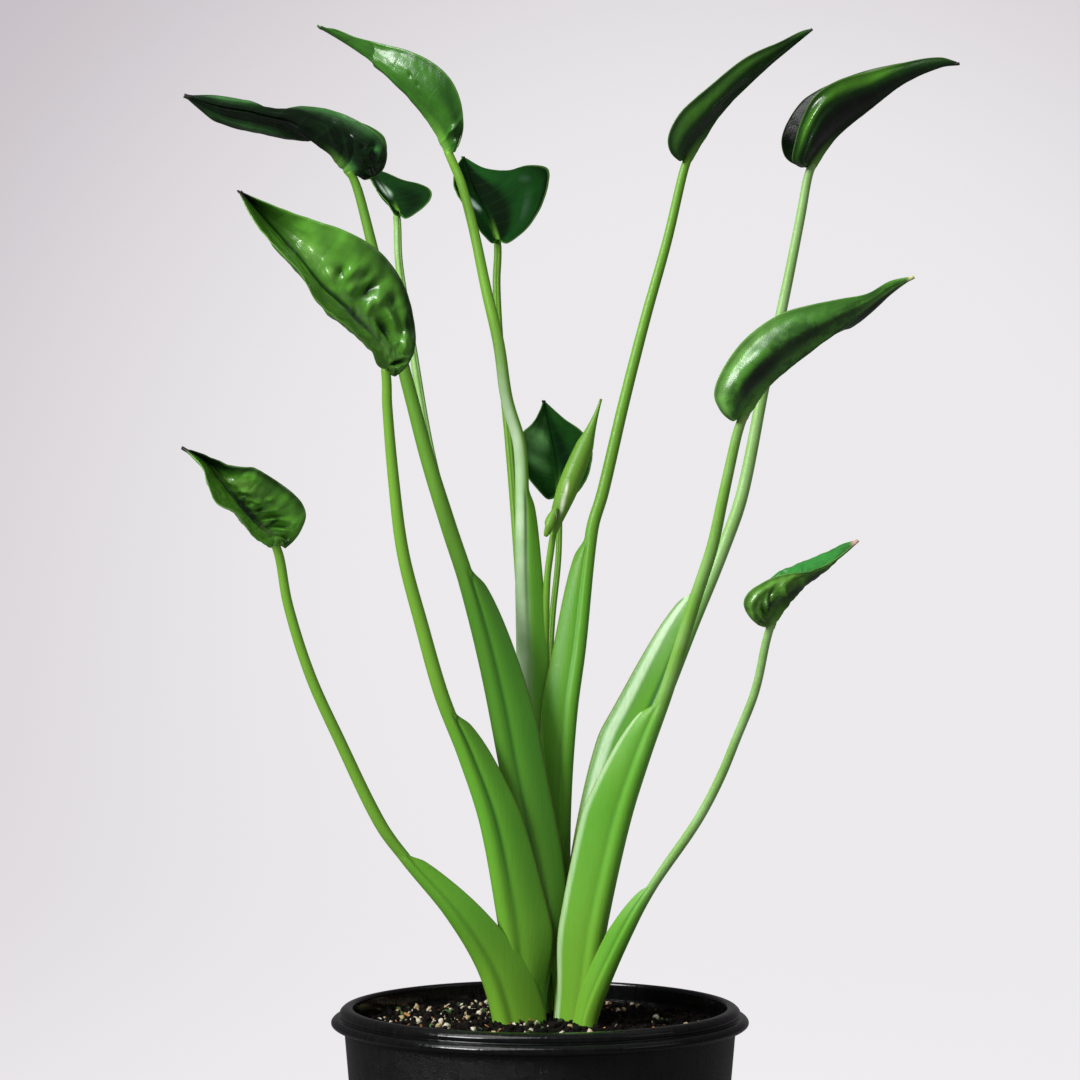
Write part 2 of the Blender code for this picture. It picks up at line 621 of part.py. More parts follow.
def stalk_sections(stalk, position, end_direction):
    """Rings of points from the foot to the joint."""
    foot_share = share_at_height(position, SOIL_AT_WALL + SOIL_MOUND)
    shoulder_share = share_at_height(position, stalk.shoulder)
    opening = Vector((math.cos(math.radians(stalk.opens)), math.sin(math.radians(stalk.opens)), 0))
    near = Vector((opening.y, -opening.x, 0))
    if near.y > 0:
        near.negate()
    up = Vector((0, 0, 1))
    stations = [(0.0, 1.0)]
    stations += [(mix(shoulder_share, foot_share, depth), depth) for depth in SHEATH_STATIONS]
    stations += [(mix(shoulder_share, 1.0, rise), -rise) for rise in STEM_STATIONS]
    rings = []
    for share, depth in stations:
        centre = position(share)
        if share == 0.0:
            centre.z = FOOT_DEPTH
        tangent = end_direction if share == 1.0 else tangent_at(position, share)
        level = 1.0 - smooth_step(-depth / 0.25)
        normal = tangent.lerp(up, level).normalized()
        along = (opening - normal * opening.dot(normal)).normalized()
        side = normal.cross(along)
        if side.dot(near) < 0:
            side.negate()
        stretch = 1.0 / normal.dot(tangent)
        if depth > 0:
            radius = mix(stalk.stem_radius, stalk.foot_radius, depth)
            spread = mix(stalk.stem_radius, stalk.spread, depth**0.7)
            sheathed = smooth_step(depth / SHEATH_BLEND)
            winged = sheath_loop(radius, spread, wing_reach(stalk, depth))
        else:
            radius = mix(stalk.stem_radius, stalk.joint_radius, -depth)
            sheathed = 0.0
            winged = None
        loop = stem_loop(radius)
        if winged:
            loop = [
                (mix(plain[0], wing[0], sheathed), mix(plain[1], wing[1], sheathed))
                for plain, wing in zip(loop, winged)
            ]
        ring = []
        for forward, sideways in loop:
            factor = stretch if forward < 0 else 1.0
            ring.append(centre + along * (forward * factor) + side * sideways)
        rings.append(ring)
    return rings


def channel_cap():
    """Faces that close a sheath's foot, between the outer and the inner side of its section."""
    outer = (0, 1, 1, 2, 3)
    inner = (8, 7, 6, 5, 4)
    faces = []
    for step in range(len(outer) - 1):
        first, second = outer[step], outer[step + 1]
        faces.append((first, inner[step], inner[step + 1]))
        if first != second:
            faces.append((first, inner[step + 1], second))
    mirrored = [tuple((LOOP_SIZE - corner) % LOOP_SIZE for corner in reversed(face)) for face in faces]
    return faces + mirrored


def skin_rings(rings, first_cap=None):
    """A closed tube over rings of equal length, with a fan over an end that has no cap."""
    size = len(rings[0])
    points = [tuple(point) for ring in rings for point in ring]
    faces = []
    for index in range(len(rings) - 1):
        for step in range(size):
            after = (step + 1) % size
            low, high = index * size, (index + 1) * size
            faces.append((low + step, low + after, high + after))
            faces.append((low + step, high + after, high + step))
    for ring, start in ((rings[0], 0), (rings[-1], (len(rings) - 1) * size)):
        if start == 0 and first_cap:
            faces.extend(first_cap)
            continue
        middle = len(points)
        points.append(tuple(sum(ring, Vector()) / size))
        for step in range(size):
            face = (middle, start + (step + 1) % size, start + step)
            faces.append(face if start == 0 else face[::-1])
    return points, faces


def facing_out(points, faces):
    """The faces, all turned round if the body is inside out."""
    volume = 0.0
    for face in faces:
        first, second, third = (Vector(points[corner]) for corner in face)
        volume += first.dot(second.cross(third))
    return faces if volume > 0 else [face[::-1] for face in faces]


def blade_start(number):
    """Where the blade's midrib sets off from the stalk's end."""
    joint = Vector(STALKS[number].path[-1])
    if number == ROLLED_LEAF:
        return (Vector(ROLLED_AXIS[1]) - joint).normalized()
    return (Vector(BLADES[number].midrib[0]) - joint).normalized()


def neck_direction(number):
    """The way that a stalk's last stretch points, between the stalk's and the blade's."""
    path = STALKS[number].path
    below = (Vector(path[-1]) - Vector(path[-2])).normalized()
    return (blade_start(number) + below).normalized()


def add_stalk(number, skin):
    stalk = STALKS[number]
    joint = Vector(stalk.path[-1])
    neck = joint - neck_direction(number) * NECK_LENGTH
    position = curve_through((*stalk.path[:-1], neck, joint))
    rings = stalk_sections(stalk, position, blade_start(number))
    points, faces = skin_rings(rings, channel_cap())
    add_object(f"stalk_{number:02d}", points, facing_out(points, faces), skin)


def rib_depth(share):
    """How far the midrib stands out below the blade."""
    return RIB_DEPTH * (1.0 - share) ** RIB_TAPER + TIP_RIB


def half_section(centre, margin, outward):
    """Points from beside the midrib to the margin, bowed outward."""
    span = margin - centre
    bow = (centre + margin) / 2 + outward * (BLADE_BOW * span.length)
    points = []
    for column in BLADE_COLUMNS:
        rest = 1.0 - column
        points.append(centre * rest**2 + bow * (2 * rest * column) + margin * column**2)
    return points


def beside_stalk(point, joint, neck_direction, radius):
    """The point, moved out to the radius where it would lie inside the stalk's end."""
    offset = point - joint
    ahead = offset.dot(neck_direction)
    side = offset - neck_direction * ahead
    if side.length >= radius:
        return point
    pushed = side.normalized() * (radius - side.length)
    return point + pushed * smooth_step((NECK_MARGIN - ahead) / NECK_MARGIN)


def blade_frame(blade, joint):
    """Which way is across and which is up where the blade meets its stalk."""
    ahead = (Vector(blade.midrib[0]) - joint).normalized()
    across = Vector(blade.near_margin[0]) - Vector(blade.far_margin[0])
    across = (across - ahead * across.dot(ahead)).normalized()
    up = across.cross(ahead)
    opening = Vector(blade.near_margin[3]) + Vector(blade.far_margin[3]) - Vector(blade.midrib[0]) * 2
    if up.dot(opening) < 0:
        up.negate()
    return across, up


def blade_sheet(blade, joint, neck, neck_direction):
    """The blade's middle surface, as rows of points from its near edge to its far edge."""
    first_across, up = blade_frame(blade, joint)
    midrib = curve_through((joint, *blade.midrib))
    tip = blade.midrib[-1]
    raised = joint + up * LOBE_RISE
    margins = []
    for points in (blade.near_margin, blade.far_margin):
        start = raised + (Vector(points[0]) - raised).normalized() * neck
        margins.append(curve_through((start, *points, tip)))
    rows = []
    ups = []
    for row in range(BLADE_ROWS + 1):
        share = row / BLADE_ROWS
        along = share**MIDRIB_CROWDING
        ahead = tangent_at(midrib, along)
        edges = [margin(share) for margin in margins]
        if 0 < row < BLADE_ROWS:
            across = edges[0] - edges[1]
            across = (across - ahead * across.dot(ahead)).normalized()
            turned = across.cross(ahead)
            up = turned if turned.dot(up) > 0 else -turned
        elif row == 0:
            across = first_across
        centre = midrib(along) + up * (LOBE_RISE * (1.0 - along) ** RIB_TAPER)
        least = mix(START_SLACK * neck, TIP_HALF_WIDTH, min(share / NECK_SHARE, 1.0))
        line = []
        for edge, hand in zip(edges, (1, -1)):
            wave = math.sin(math.tau * (RIPPLE_WAVES * share + blade.phase + 0.25 * hand))
            edge += up * (blade.ripple * wave * math.sin(math.pi * share))
            if (edge - centre).length < least:
                edge = centre + across * (hand * least)
            outward = (edge - centre).cross(ahead).normalized()
            if outward.dot(up) > 0:
                outward.negate()
            half = half_section(centre, edge, outward)
            line.append([beside_stalk(point, joint, neck_direction, neck) for point in half])
        rows.append(line[0][:0:-1] + line[1])
        ups.append(up)
    return rows, ups


def smoothed(grid):
    """A grid of directions, each averaged with its neighbours."""
    for _ in range(NORMAL_SMOOTHING):
        last_row, last_column = len(grid) - 1, len(grid[0]) - 1
        averaged = []
        for row in range(last_row + 1):
            line = []
            for column in range(last_column + 1):
                total = grid[row][column] * 2
                total += grid[max(row - 1, 0)][column] + grid[min(row + 1, last_row)][column]
                total += grid[row][max(column - 1, 0)] + grid[row][min(column + 1, last_column)]
                line.append(total.normalized())
            averaged.append(line)
        grid = averaged
    return grid


def thick_sheet(rows, ups):
    """The sheet as a closed body, with the midrib raised from its underside."""
    width = len(rows[0])
    middle = width // 2
    sheet = bmesh.new()
    grid = [[sheet.verts.new(point) for point in row] for row in rows]
    for row, after in zip(grid, grid[1:]):
        for column in range(width - 1):
            sheet.faces.new((row[column], row[column + 1], after[column + 1], after[column]))
    sheet.normal_update()
    facing = sum(row[middle].normal.dot(up) for row, up in zip(grid, ups))
    upward = math.copysign(BLADE_THICKNESS, facing)
    normals = smoothed([[vertex.normal.copy() for vertex in row] for row in grid])
    points = []
    for side in (0.5, -0.5):
        for index, row in enumerate(grid):
            for column, vertex in enumerate(row):
                offset = normals[index][column] * (side * upward)
                if side < 0 and column == middle:
                    offset = ups[index] * (-0.5 * BLADE_THICKNESS - rib_depth(index / BLADE_ROWS))
                points.append(tuple(vertex.co + offset))
    sheet.free()
    count = width * len(rows)
    faces = []
    for row in range(len(rows) - 1):
        for column in range(width - 1):
            corner = row * width + column
            square = (corner, corner + 1, corner + width + 1, corner + width)
            if column < middle:
                square = square[1:] + square[:1]
            for face in ((square[0], square[1], square[2]), (square[0], square[2], square[3])):
                faces.append(face)
                faces.append(tuple(count + corner for corner in reversed(face)))
    rim = list(range(width))
    rim += [row * width + width - 1 for row in range(1, len(rows))]
    rim += [(len(rows) - 1) * width + column for column in range(width - 2, -1, -1)]
    rim += [row * width for row in range(len(rows) - 2, 0, -1)]
    for first, second in zip(rim, rim[1:] + rim[:1]):
        faces.append((second, first, count + first))
        faces.append((second, count + first, count + second))
    return points, faces


def add_blade(number, skin):
    stalk = STALKS[number]
    blade = BLADES[number]
    joint = Vector(stalk.path[-1])
    start = joint + blade_start(number) * JOINT_GAP
    rows, ups = blade_sheet(blade, start, stalk.joint_radius + NECK_MARGIN, neck_direction(number))
    points, faces = thick_sheet(rows, ups)
    add_object(f"blade_{number:02d}", points, facing_out(points, faces), skin)


def rolled_radius(share):
    """The spindle's radius: thickest at its belly, drawn out to a point."""
    if share < ROLLED_BELLY:
        swell = math.sin(math.pi / 2 * share / ROLLED_BELLY)
    else:
        swell = math.cos(math.pi / 2 * (share - ROLLED_BELLY) / (1.0 - ROLLED_BELLY))
    radius = mix(ROLLED_FOOT_RADIUS, ROLLED_RADIUS, swell)
    return mix(radius, ROLLED_TIP_RADIUS, max(share - ROLLED_POINT, 0.0) / (1.0 - ROLLED_POINT))


def add_rolled_blade(skin):
    """A spindle whose outer edge makes one step that winds up its length."""
    handles = [Vector(point) for point in ROLLED_AXIS]
    rings = []
    for ring in range(ROLLED_RINGS + 1):
        share = ring / ROLLED_RINGS
        centre = bezier(handles, share)
        ahead = tangent_at(lambda place: bezier(handles, place), share)
        side = ahead.cross(Vector((0, 1, 0))).normalized()
        front = side.cross(ahead)
        points = []
        for step in range(ROLLED_SIDES):
            turn = step / ROLLED_SIDES
            angle = math.tau * (turn + ROLLED_TWIST * share)
            size = rolled_radius(share) * (1.0 - ROLLED_STEP * turn)
            points.append(centre + side * (size * math.cos(angle)) + front * (size * math.sin(angle)))
        rings.append(points)
    points, faces = skin_rings(rings)
    add_object(f"blade_{ROLLED_LEAF:02d}", points, facing_out(points, faces), skin)


def main():
    clear_scene()
    add_pot()
    add_soil()
    stem = material("stem", STEM_COLOUR, 0.4)
    waxy_stem = material("waxy_stem", WAXY_STEM_COLOUR, 0.45)
    leaf = material("leaf", BLADE_COLOUR, 0.35)
    young_leaf = material("young_leaf", YOUNG_BLADE_COLOUR, 0.4)
    for number in STALKS:
        add_stalk(number, waxy_stem if number in WAXY_STALKS else stem)
    for number in BLADES:
        add_blade(number, leaf)
    add_rolled_blade(young_leaf)


main()
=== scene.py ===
"""Tiny dancer alocasia in its pot: finer leaves, stalks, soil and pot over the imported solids.

The leaves, stalks, pot and soil repeat the solids' own curves and sizes in millimetres and add
what the solids leave out: veins, puckers, bent margins, the sheaths' grooves, grains and finishes.
Each leaf is a stalk and a blade. The front faces -Y and the pot stands on Z = 0.
"""

import math
from dataclasses import dataclass
from functools import partial
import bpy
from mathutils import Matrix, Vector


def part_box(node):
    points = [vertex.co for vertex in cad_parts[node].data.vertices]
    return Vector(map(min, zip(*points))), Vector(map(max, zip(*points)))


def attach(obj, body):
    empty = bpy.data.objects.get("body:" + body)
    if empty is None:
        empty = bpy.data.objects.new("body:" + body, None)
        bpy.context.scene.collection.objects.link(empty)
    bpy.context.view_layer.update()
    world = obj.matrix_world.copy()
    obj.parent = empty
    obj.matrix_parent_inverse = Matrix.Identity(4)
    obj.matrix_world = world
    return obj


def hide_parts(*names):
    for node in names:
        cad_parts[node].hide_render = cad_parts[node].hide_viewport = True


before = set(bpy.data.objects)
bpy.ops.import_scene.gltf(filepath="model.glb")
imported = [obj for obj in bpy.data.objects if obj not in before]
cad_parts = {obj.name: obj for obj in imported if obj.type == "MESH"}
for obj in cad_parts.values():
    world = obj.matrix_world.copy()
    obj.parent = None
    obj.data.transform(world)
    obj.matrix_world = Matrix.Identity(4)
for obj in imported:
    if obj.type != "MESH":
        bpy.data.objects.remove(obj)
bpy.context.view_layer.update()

from types import SimpleNamespace

import bmesh
import bpy
import numpy as np
from mathutils import Vector, noise

bl_info = {
    "name": "Potted Alocasia",
    "version": (1, 0, 0),
    "blender": (4, 5, 0),
    "location": "View3D > Sidebar > Alocasia",
    "description": "Dresses the packed alocasia and its pot with finished leaves, stalks and soil",
    "category": "Add Mesh",
}

POT_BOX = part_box("pot")
BODY = "root"
MM = 0.001
TINY = 1e-9  # keeps a length from being divided by nothing
HALVINGS = 40  # steps in the search for a height on a curve
TANGENT_STEP = 0.004  # share of a curve on each side of the point whose direction is wanted

# Pot, turned about Z
POT_HEIGHT = 140.0
BASE_RADIUS = 64.0
WALL_TOP_RADIUS = 75.3
WALL_TOP = 131.6
BEAD_RADIUS = 80.3
BEAD_HEIGHT = 134.0
BEAD_TOP = 136.2
LIP_RADIUS = 77.0
MOUTH_RADIUS = 71.8
INNER_BEND = 126.0
INNER_BEND_RADIUS = 71.6
BASE_EDGE = 1.6
FLOOR_THICKNESS = 2.5
FLOOR_RADIUS = 61.6
DRAIN_HOLES = 6
DRAIN_RADIUS = 4.5
DRAIN_CIRCLE = 42.0
DRAIN_SIDES = 32
DRAIN_DEPTH = 20.0
CORNER_STEPS = 4
CORNER_SHARE = 0.45  # the most of a stretch that a rounded corner takes
SHARP_DEGREES = 50.0

# Soil
SOIL_AT_WALL = 132.0
SOIL_MOUND = 2.6
MOUND_INNER = 15.0
MOUND_OUTER = 65.0
SOIL_RELIEF = 0.9
CRUMB_RELIEF = 0.6
CHIP_LUMPS = (5.0, 3.7)  # a lump's size, and the level at which its noise is read
CRUMB_LUMPS = (2.3, 9.1)
GRIT_LUMPS = (0.9, 5.3)
SOIL_GRIT = 0.35
SOIL_EDGE_RADIUS = 71.6
SOIL_SIDES = 220
SOIL_RINGS = 85
SOIL_RING_CROWDING = 0.8
SOIL_TONE_SCALE = 0.4
GRAIN_SEED = 7
GRAIN_REACH = 69.5
GRAIN_LEAN = 0.35
GRAIN_SINK = 0.35
GRAIN_DETAIL = 2
GRAIN_WIDTHS = (0.6, 1.0)  # of its length
FLAT_GRAIN = 0.5  # a kind of grain flatter than this lies down

# Stalks
FOOT_HEIGHT = 118.3  # of the stalks' feet, in the soil
WING_THICKNESS = 1.0
THIN_WING = 0.4  # a wing is no thicker than this share of half the sheath's width
FAR_WING_SHARE = 0.25
SHEATH_GROWTH = 0.36
REACH_DEPTHS = (0.35, 0.7, 1.0)
SHEATH_BLEND = 0.04
NECK_LENGTH = 5.0
NECK_EASE = 1.5

# Blades
RIB_DEPTH = 3.6
RIB_TAPER = 5.0
TIP_RIB = 0.5
LOBE_RISE = 2.7
BLADE_BOW = 0.16
RIPPLE_WAVES = 2.2
RIPPLE_SHIFT = 0.25  # turns by which the near margin's waves run ahead and the far margin's lag
WIDEST = 3  # which point of a margin is about where its blade is widest
NECK_SHARE = 0.33
JOINT_GAP = 0.45
NECK_MARGIN = 0.9
TIP_HALF_WIDTH = 0.65
START_SLACK = 0.95
NORMAL_SMOOTHING = 2
FINE_PUCKER = 0.35
MIDRIB_CROWDING = 1.6


@dataclass(frozen=True)
class Stalk:
    """A leaf stem's centre line from the soil to the blade, and the sheath at its foot."""

    path: tuple
    foot_radius: float
    stem_radius: float
    joint_radius: float
    shoulder: float  # height at which the sheath's wings end
    reach: tuple  # the near wing's width at three depths of the sheath
    spread: float  # half the sheath's width at the soil
    opens: float  # direction that the sheath opens to, in degrees from +X


@dataclass(frozen=True)
class Blade:
    """A blade's midrib from the stalk to the tip, and the edges of its two halves."""

    midrib: tuple
    near_margin: tuple  # from the lobe beside the stalk to just short of the tip
    far_margin: tuple
    ripple: float  # height of the margin's waves
    phase: float  # where the waves start, in turns


STALKS = {
    1: Stalk(
        path=((-11.6, -8.4, 118.0), (-13.9, -8.4, 134), (-20.5, -11.5, 155.7), (-33.0, -17, 177),
              (-50.2, -21, 198), (-60.5, -24, 212.1), (-75.7, -28, 244), (-86.4, -31, 268.3),
              (-94.6, -33, 295), (-99.0, -35, 317)),
        foot_radius=4.0, stem_radius=2.5, joint_radius=1.8,
        shoulder=200, reach=(12.5, 17.0, 17.0), spread=6.3, opens=0,
    ),
    2: Stalk(
        path=((-4.5, -7.0, 118.0), (-7.0, -7.0, 134), (-13.2, -10.2, 174), (-20.0, -14, 211.4),
              (-28.5, -17, 237.8), (-37.4, -21, 261), (-44.8, -24, 287.3), (-51.6, -27, 314.1),
              (-55.2, -29, 343.1), (-57.5, -31, 371.6), (-57.8, -32, 382)),
        foot_radius=3.4, stem_radius=3.0, joint_radius=1.9,
        shoulder=254, reach=(14.0, 17.9, 8.0), spread=4.4, opens=4,
    ),
    3: Stalk(
        path=((1.2, -5.4, 118.0), (-1.0, -5.4, 134), (-5.0, -6.0, 190), (-12.8, -6, 232.8),
              (-19.9, -5, 269.9), (-28.3, -4, 304), (-34.8, -3, 323.6), (-43.1, -2, 350.1),
              (-49.2, -1, 372.9), (-58.5, 0, 408), (-67.9, 2, 445.5), (-72.5, 2, 459.8)),
        foot_radius=2.8, stem_radius=3.4, joint_radius=1.8,
        shoulder=309, reach=(15.0, 15.0, 3.5), spread=3.0, opens=3,
    ),
    4: Stalk(
        path=((-3.5, 5.5, 118.0), (-3.5, 5.5, 134), (-5.5, 9, 200), (-6.5, 13, 274.3),
              (-7.0, 15, 306.9), (-7.6, 19, 354.2), (-12.9, 21, 373.8), (-16.1, 23, 395.8),
              (-21.2, 26, 418), (-26.0, 28, 440.9), (-31.1, 30, 460), (-35.5, 31, 470.5)),
        foot_radius=2.8, stem_radius=2.8, joint_radius=1.8,
        shoulder=341, reach=(10.5, 8.0, 4.5), spread=3.0, opens=0,
    ),
    5: Stalk(
        path=((-9.0, 12.0, 118.0), (-9.0, 12.0, 134), (-10.5, 17, 190), (-16.0, 26, 250),
              (-28.5, 38, 300), (-43.0, 52, 350), (-52.0, 62, 400), (-57.5, 70, 433),
              (-58.2, 75, 450.5)),
        foot_radius=2.3, stem_radius=2.2, joint_radius=1.6,
        shoulder=180, reach=(2.5, 2.5, 2.5), spread=2.4, opens=-60,
    ),
    6: Stalk(
        path=((-1.0, 14.0, 118.0), (-1.0, 14.0, 134), (-2.5, 19, 190), (-5.0, 28, 250),
              (-8.5, 38, 310), (-12.5, 48, 360), (-16.0, 55, 395), (-17.6, 61, 424),
              (-17.0, 65, 438.3)),
        foot_radius=2.3, stem_radius=2.1, joint_radius=1.6,
        shoulder=180, reach=(2.5, 2.5, 2.5), spread=2.4, opens=-85,
    ),
    7: Stalk(
        path=((5.0, 13.5, 118.0), (5.0, 13.5, 134), (4.0, 22, 190), (3.0, 32, 250),
              (4.8, 40, 287.3), (7.2, 45, 310), (7.8, 49, 327), (7.6, 50, 335)),
        foot_radius=1.9, stem_radius=1.6, joint_radius=1.2,
        shoulder=170, reach=(2.0, 2.0, 2.0), spread=1.9, opens=-90,
    ),
    8: Stalk(
        path=((3.0, 6.0, 118.0), (3.0, 6.0, 134), (2.0, 10.4, 200), (1.9, 14.2, 262),
              (2.7, 15.4, 303), (5.0, 15.0, 320.6)),
        foot_radius=1.7, stem_radius=1.6, joint_radius=1.4,
        shoulder=160, reach=(1.0, 1.0, 1.0), spread=1.7, opens=180,
    ),
    9: Stalk(
        path=((8.5, 5.5, 118.0), (8.5, 5.5, 134), (9.0, 7, 180), (9.6, 8, 218.7),
              (12.0, 9.4, 252.6), (15.3, 11.8, 277), (20.3, 16, 323.7), (24.2, 17, 336.6),
              (32.8, 20, 372.9), (41.5, 22, 406.7), (49.8, 24, 436.2), (57.7, 25, 468)),
        foot_radius=2.8, stem_radius=2.6, joint_radius=1.8,
        shoulder=321, reach=(12.0, 9.0, 3.5), spread=3.4, opens=180,
    ),
    10: Stalk(
        path=((9.8, -4.8, 118.0), (9.8, -4.8, 134), (12.6, -1.8, 150), (17.0, -0.5, 170), (25.0, 2, 200),
              (35.5, 6, 230), (47.3, 10, 256.5), (59.0, 13, 285.9), (71.8, 17, 316.7),
              (78.9, 19, 336.6), (88.0, 23, 380.5), (94.6, 25, 408.1), (102.6, 27, 447.1),
              (106.5, 28, 465.5)),
        foot_radius=2.8, stem_radius=2.8, joint_radius=1.8,
        shoulder=302, reach=(19.3, 11.0, 5.0), spread=3.4, opens=182,
    ),
    11: Stalk(
        path=((16.0, -5.5, 118.0), (16.5, -6.5, 134), (19.3, -9.2, 152), (22.8, -12, 174.3),
              (31.5, -16, 212.8),
              (39.0, -20, 237.2), (48.3, -24, 263.9), (58.7, -28, 297.5), (64.6, -31, 316),
              (68.3, -33, 333.3), (72.0, -34, 350.5), (75.8, -35, 364.5)),
        foot_radius=3.8, stem_radius=2.9, joint_radius=1.9,
        shoulder=258, reach=(16.6, 15.5, 11.0), spread=5.5, opens=176,
    ),
    12: Stalk(
        path=((17.0, -16.0, 118.0), (17.8, -16.5, 134.4), (24.0, -20, 152.3),
              (35.5, -26, 177), (43.0, -29, 190), (58.5, -33, 212.8), (67.1, -35, 229.1),
              (73.6, -38, 245.4), (80.2, -41, 262.7), (85.5, -45, 286.5)),
        foot_radius=3.8, stem_radius=2.0, joint_radius=1.6,
        shoulder=189, reach=(7.4, 7.6, 6.0), spread=3.8, opens=172,
    ),
}

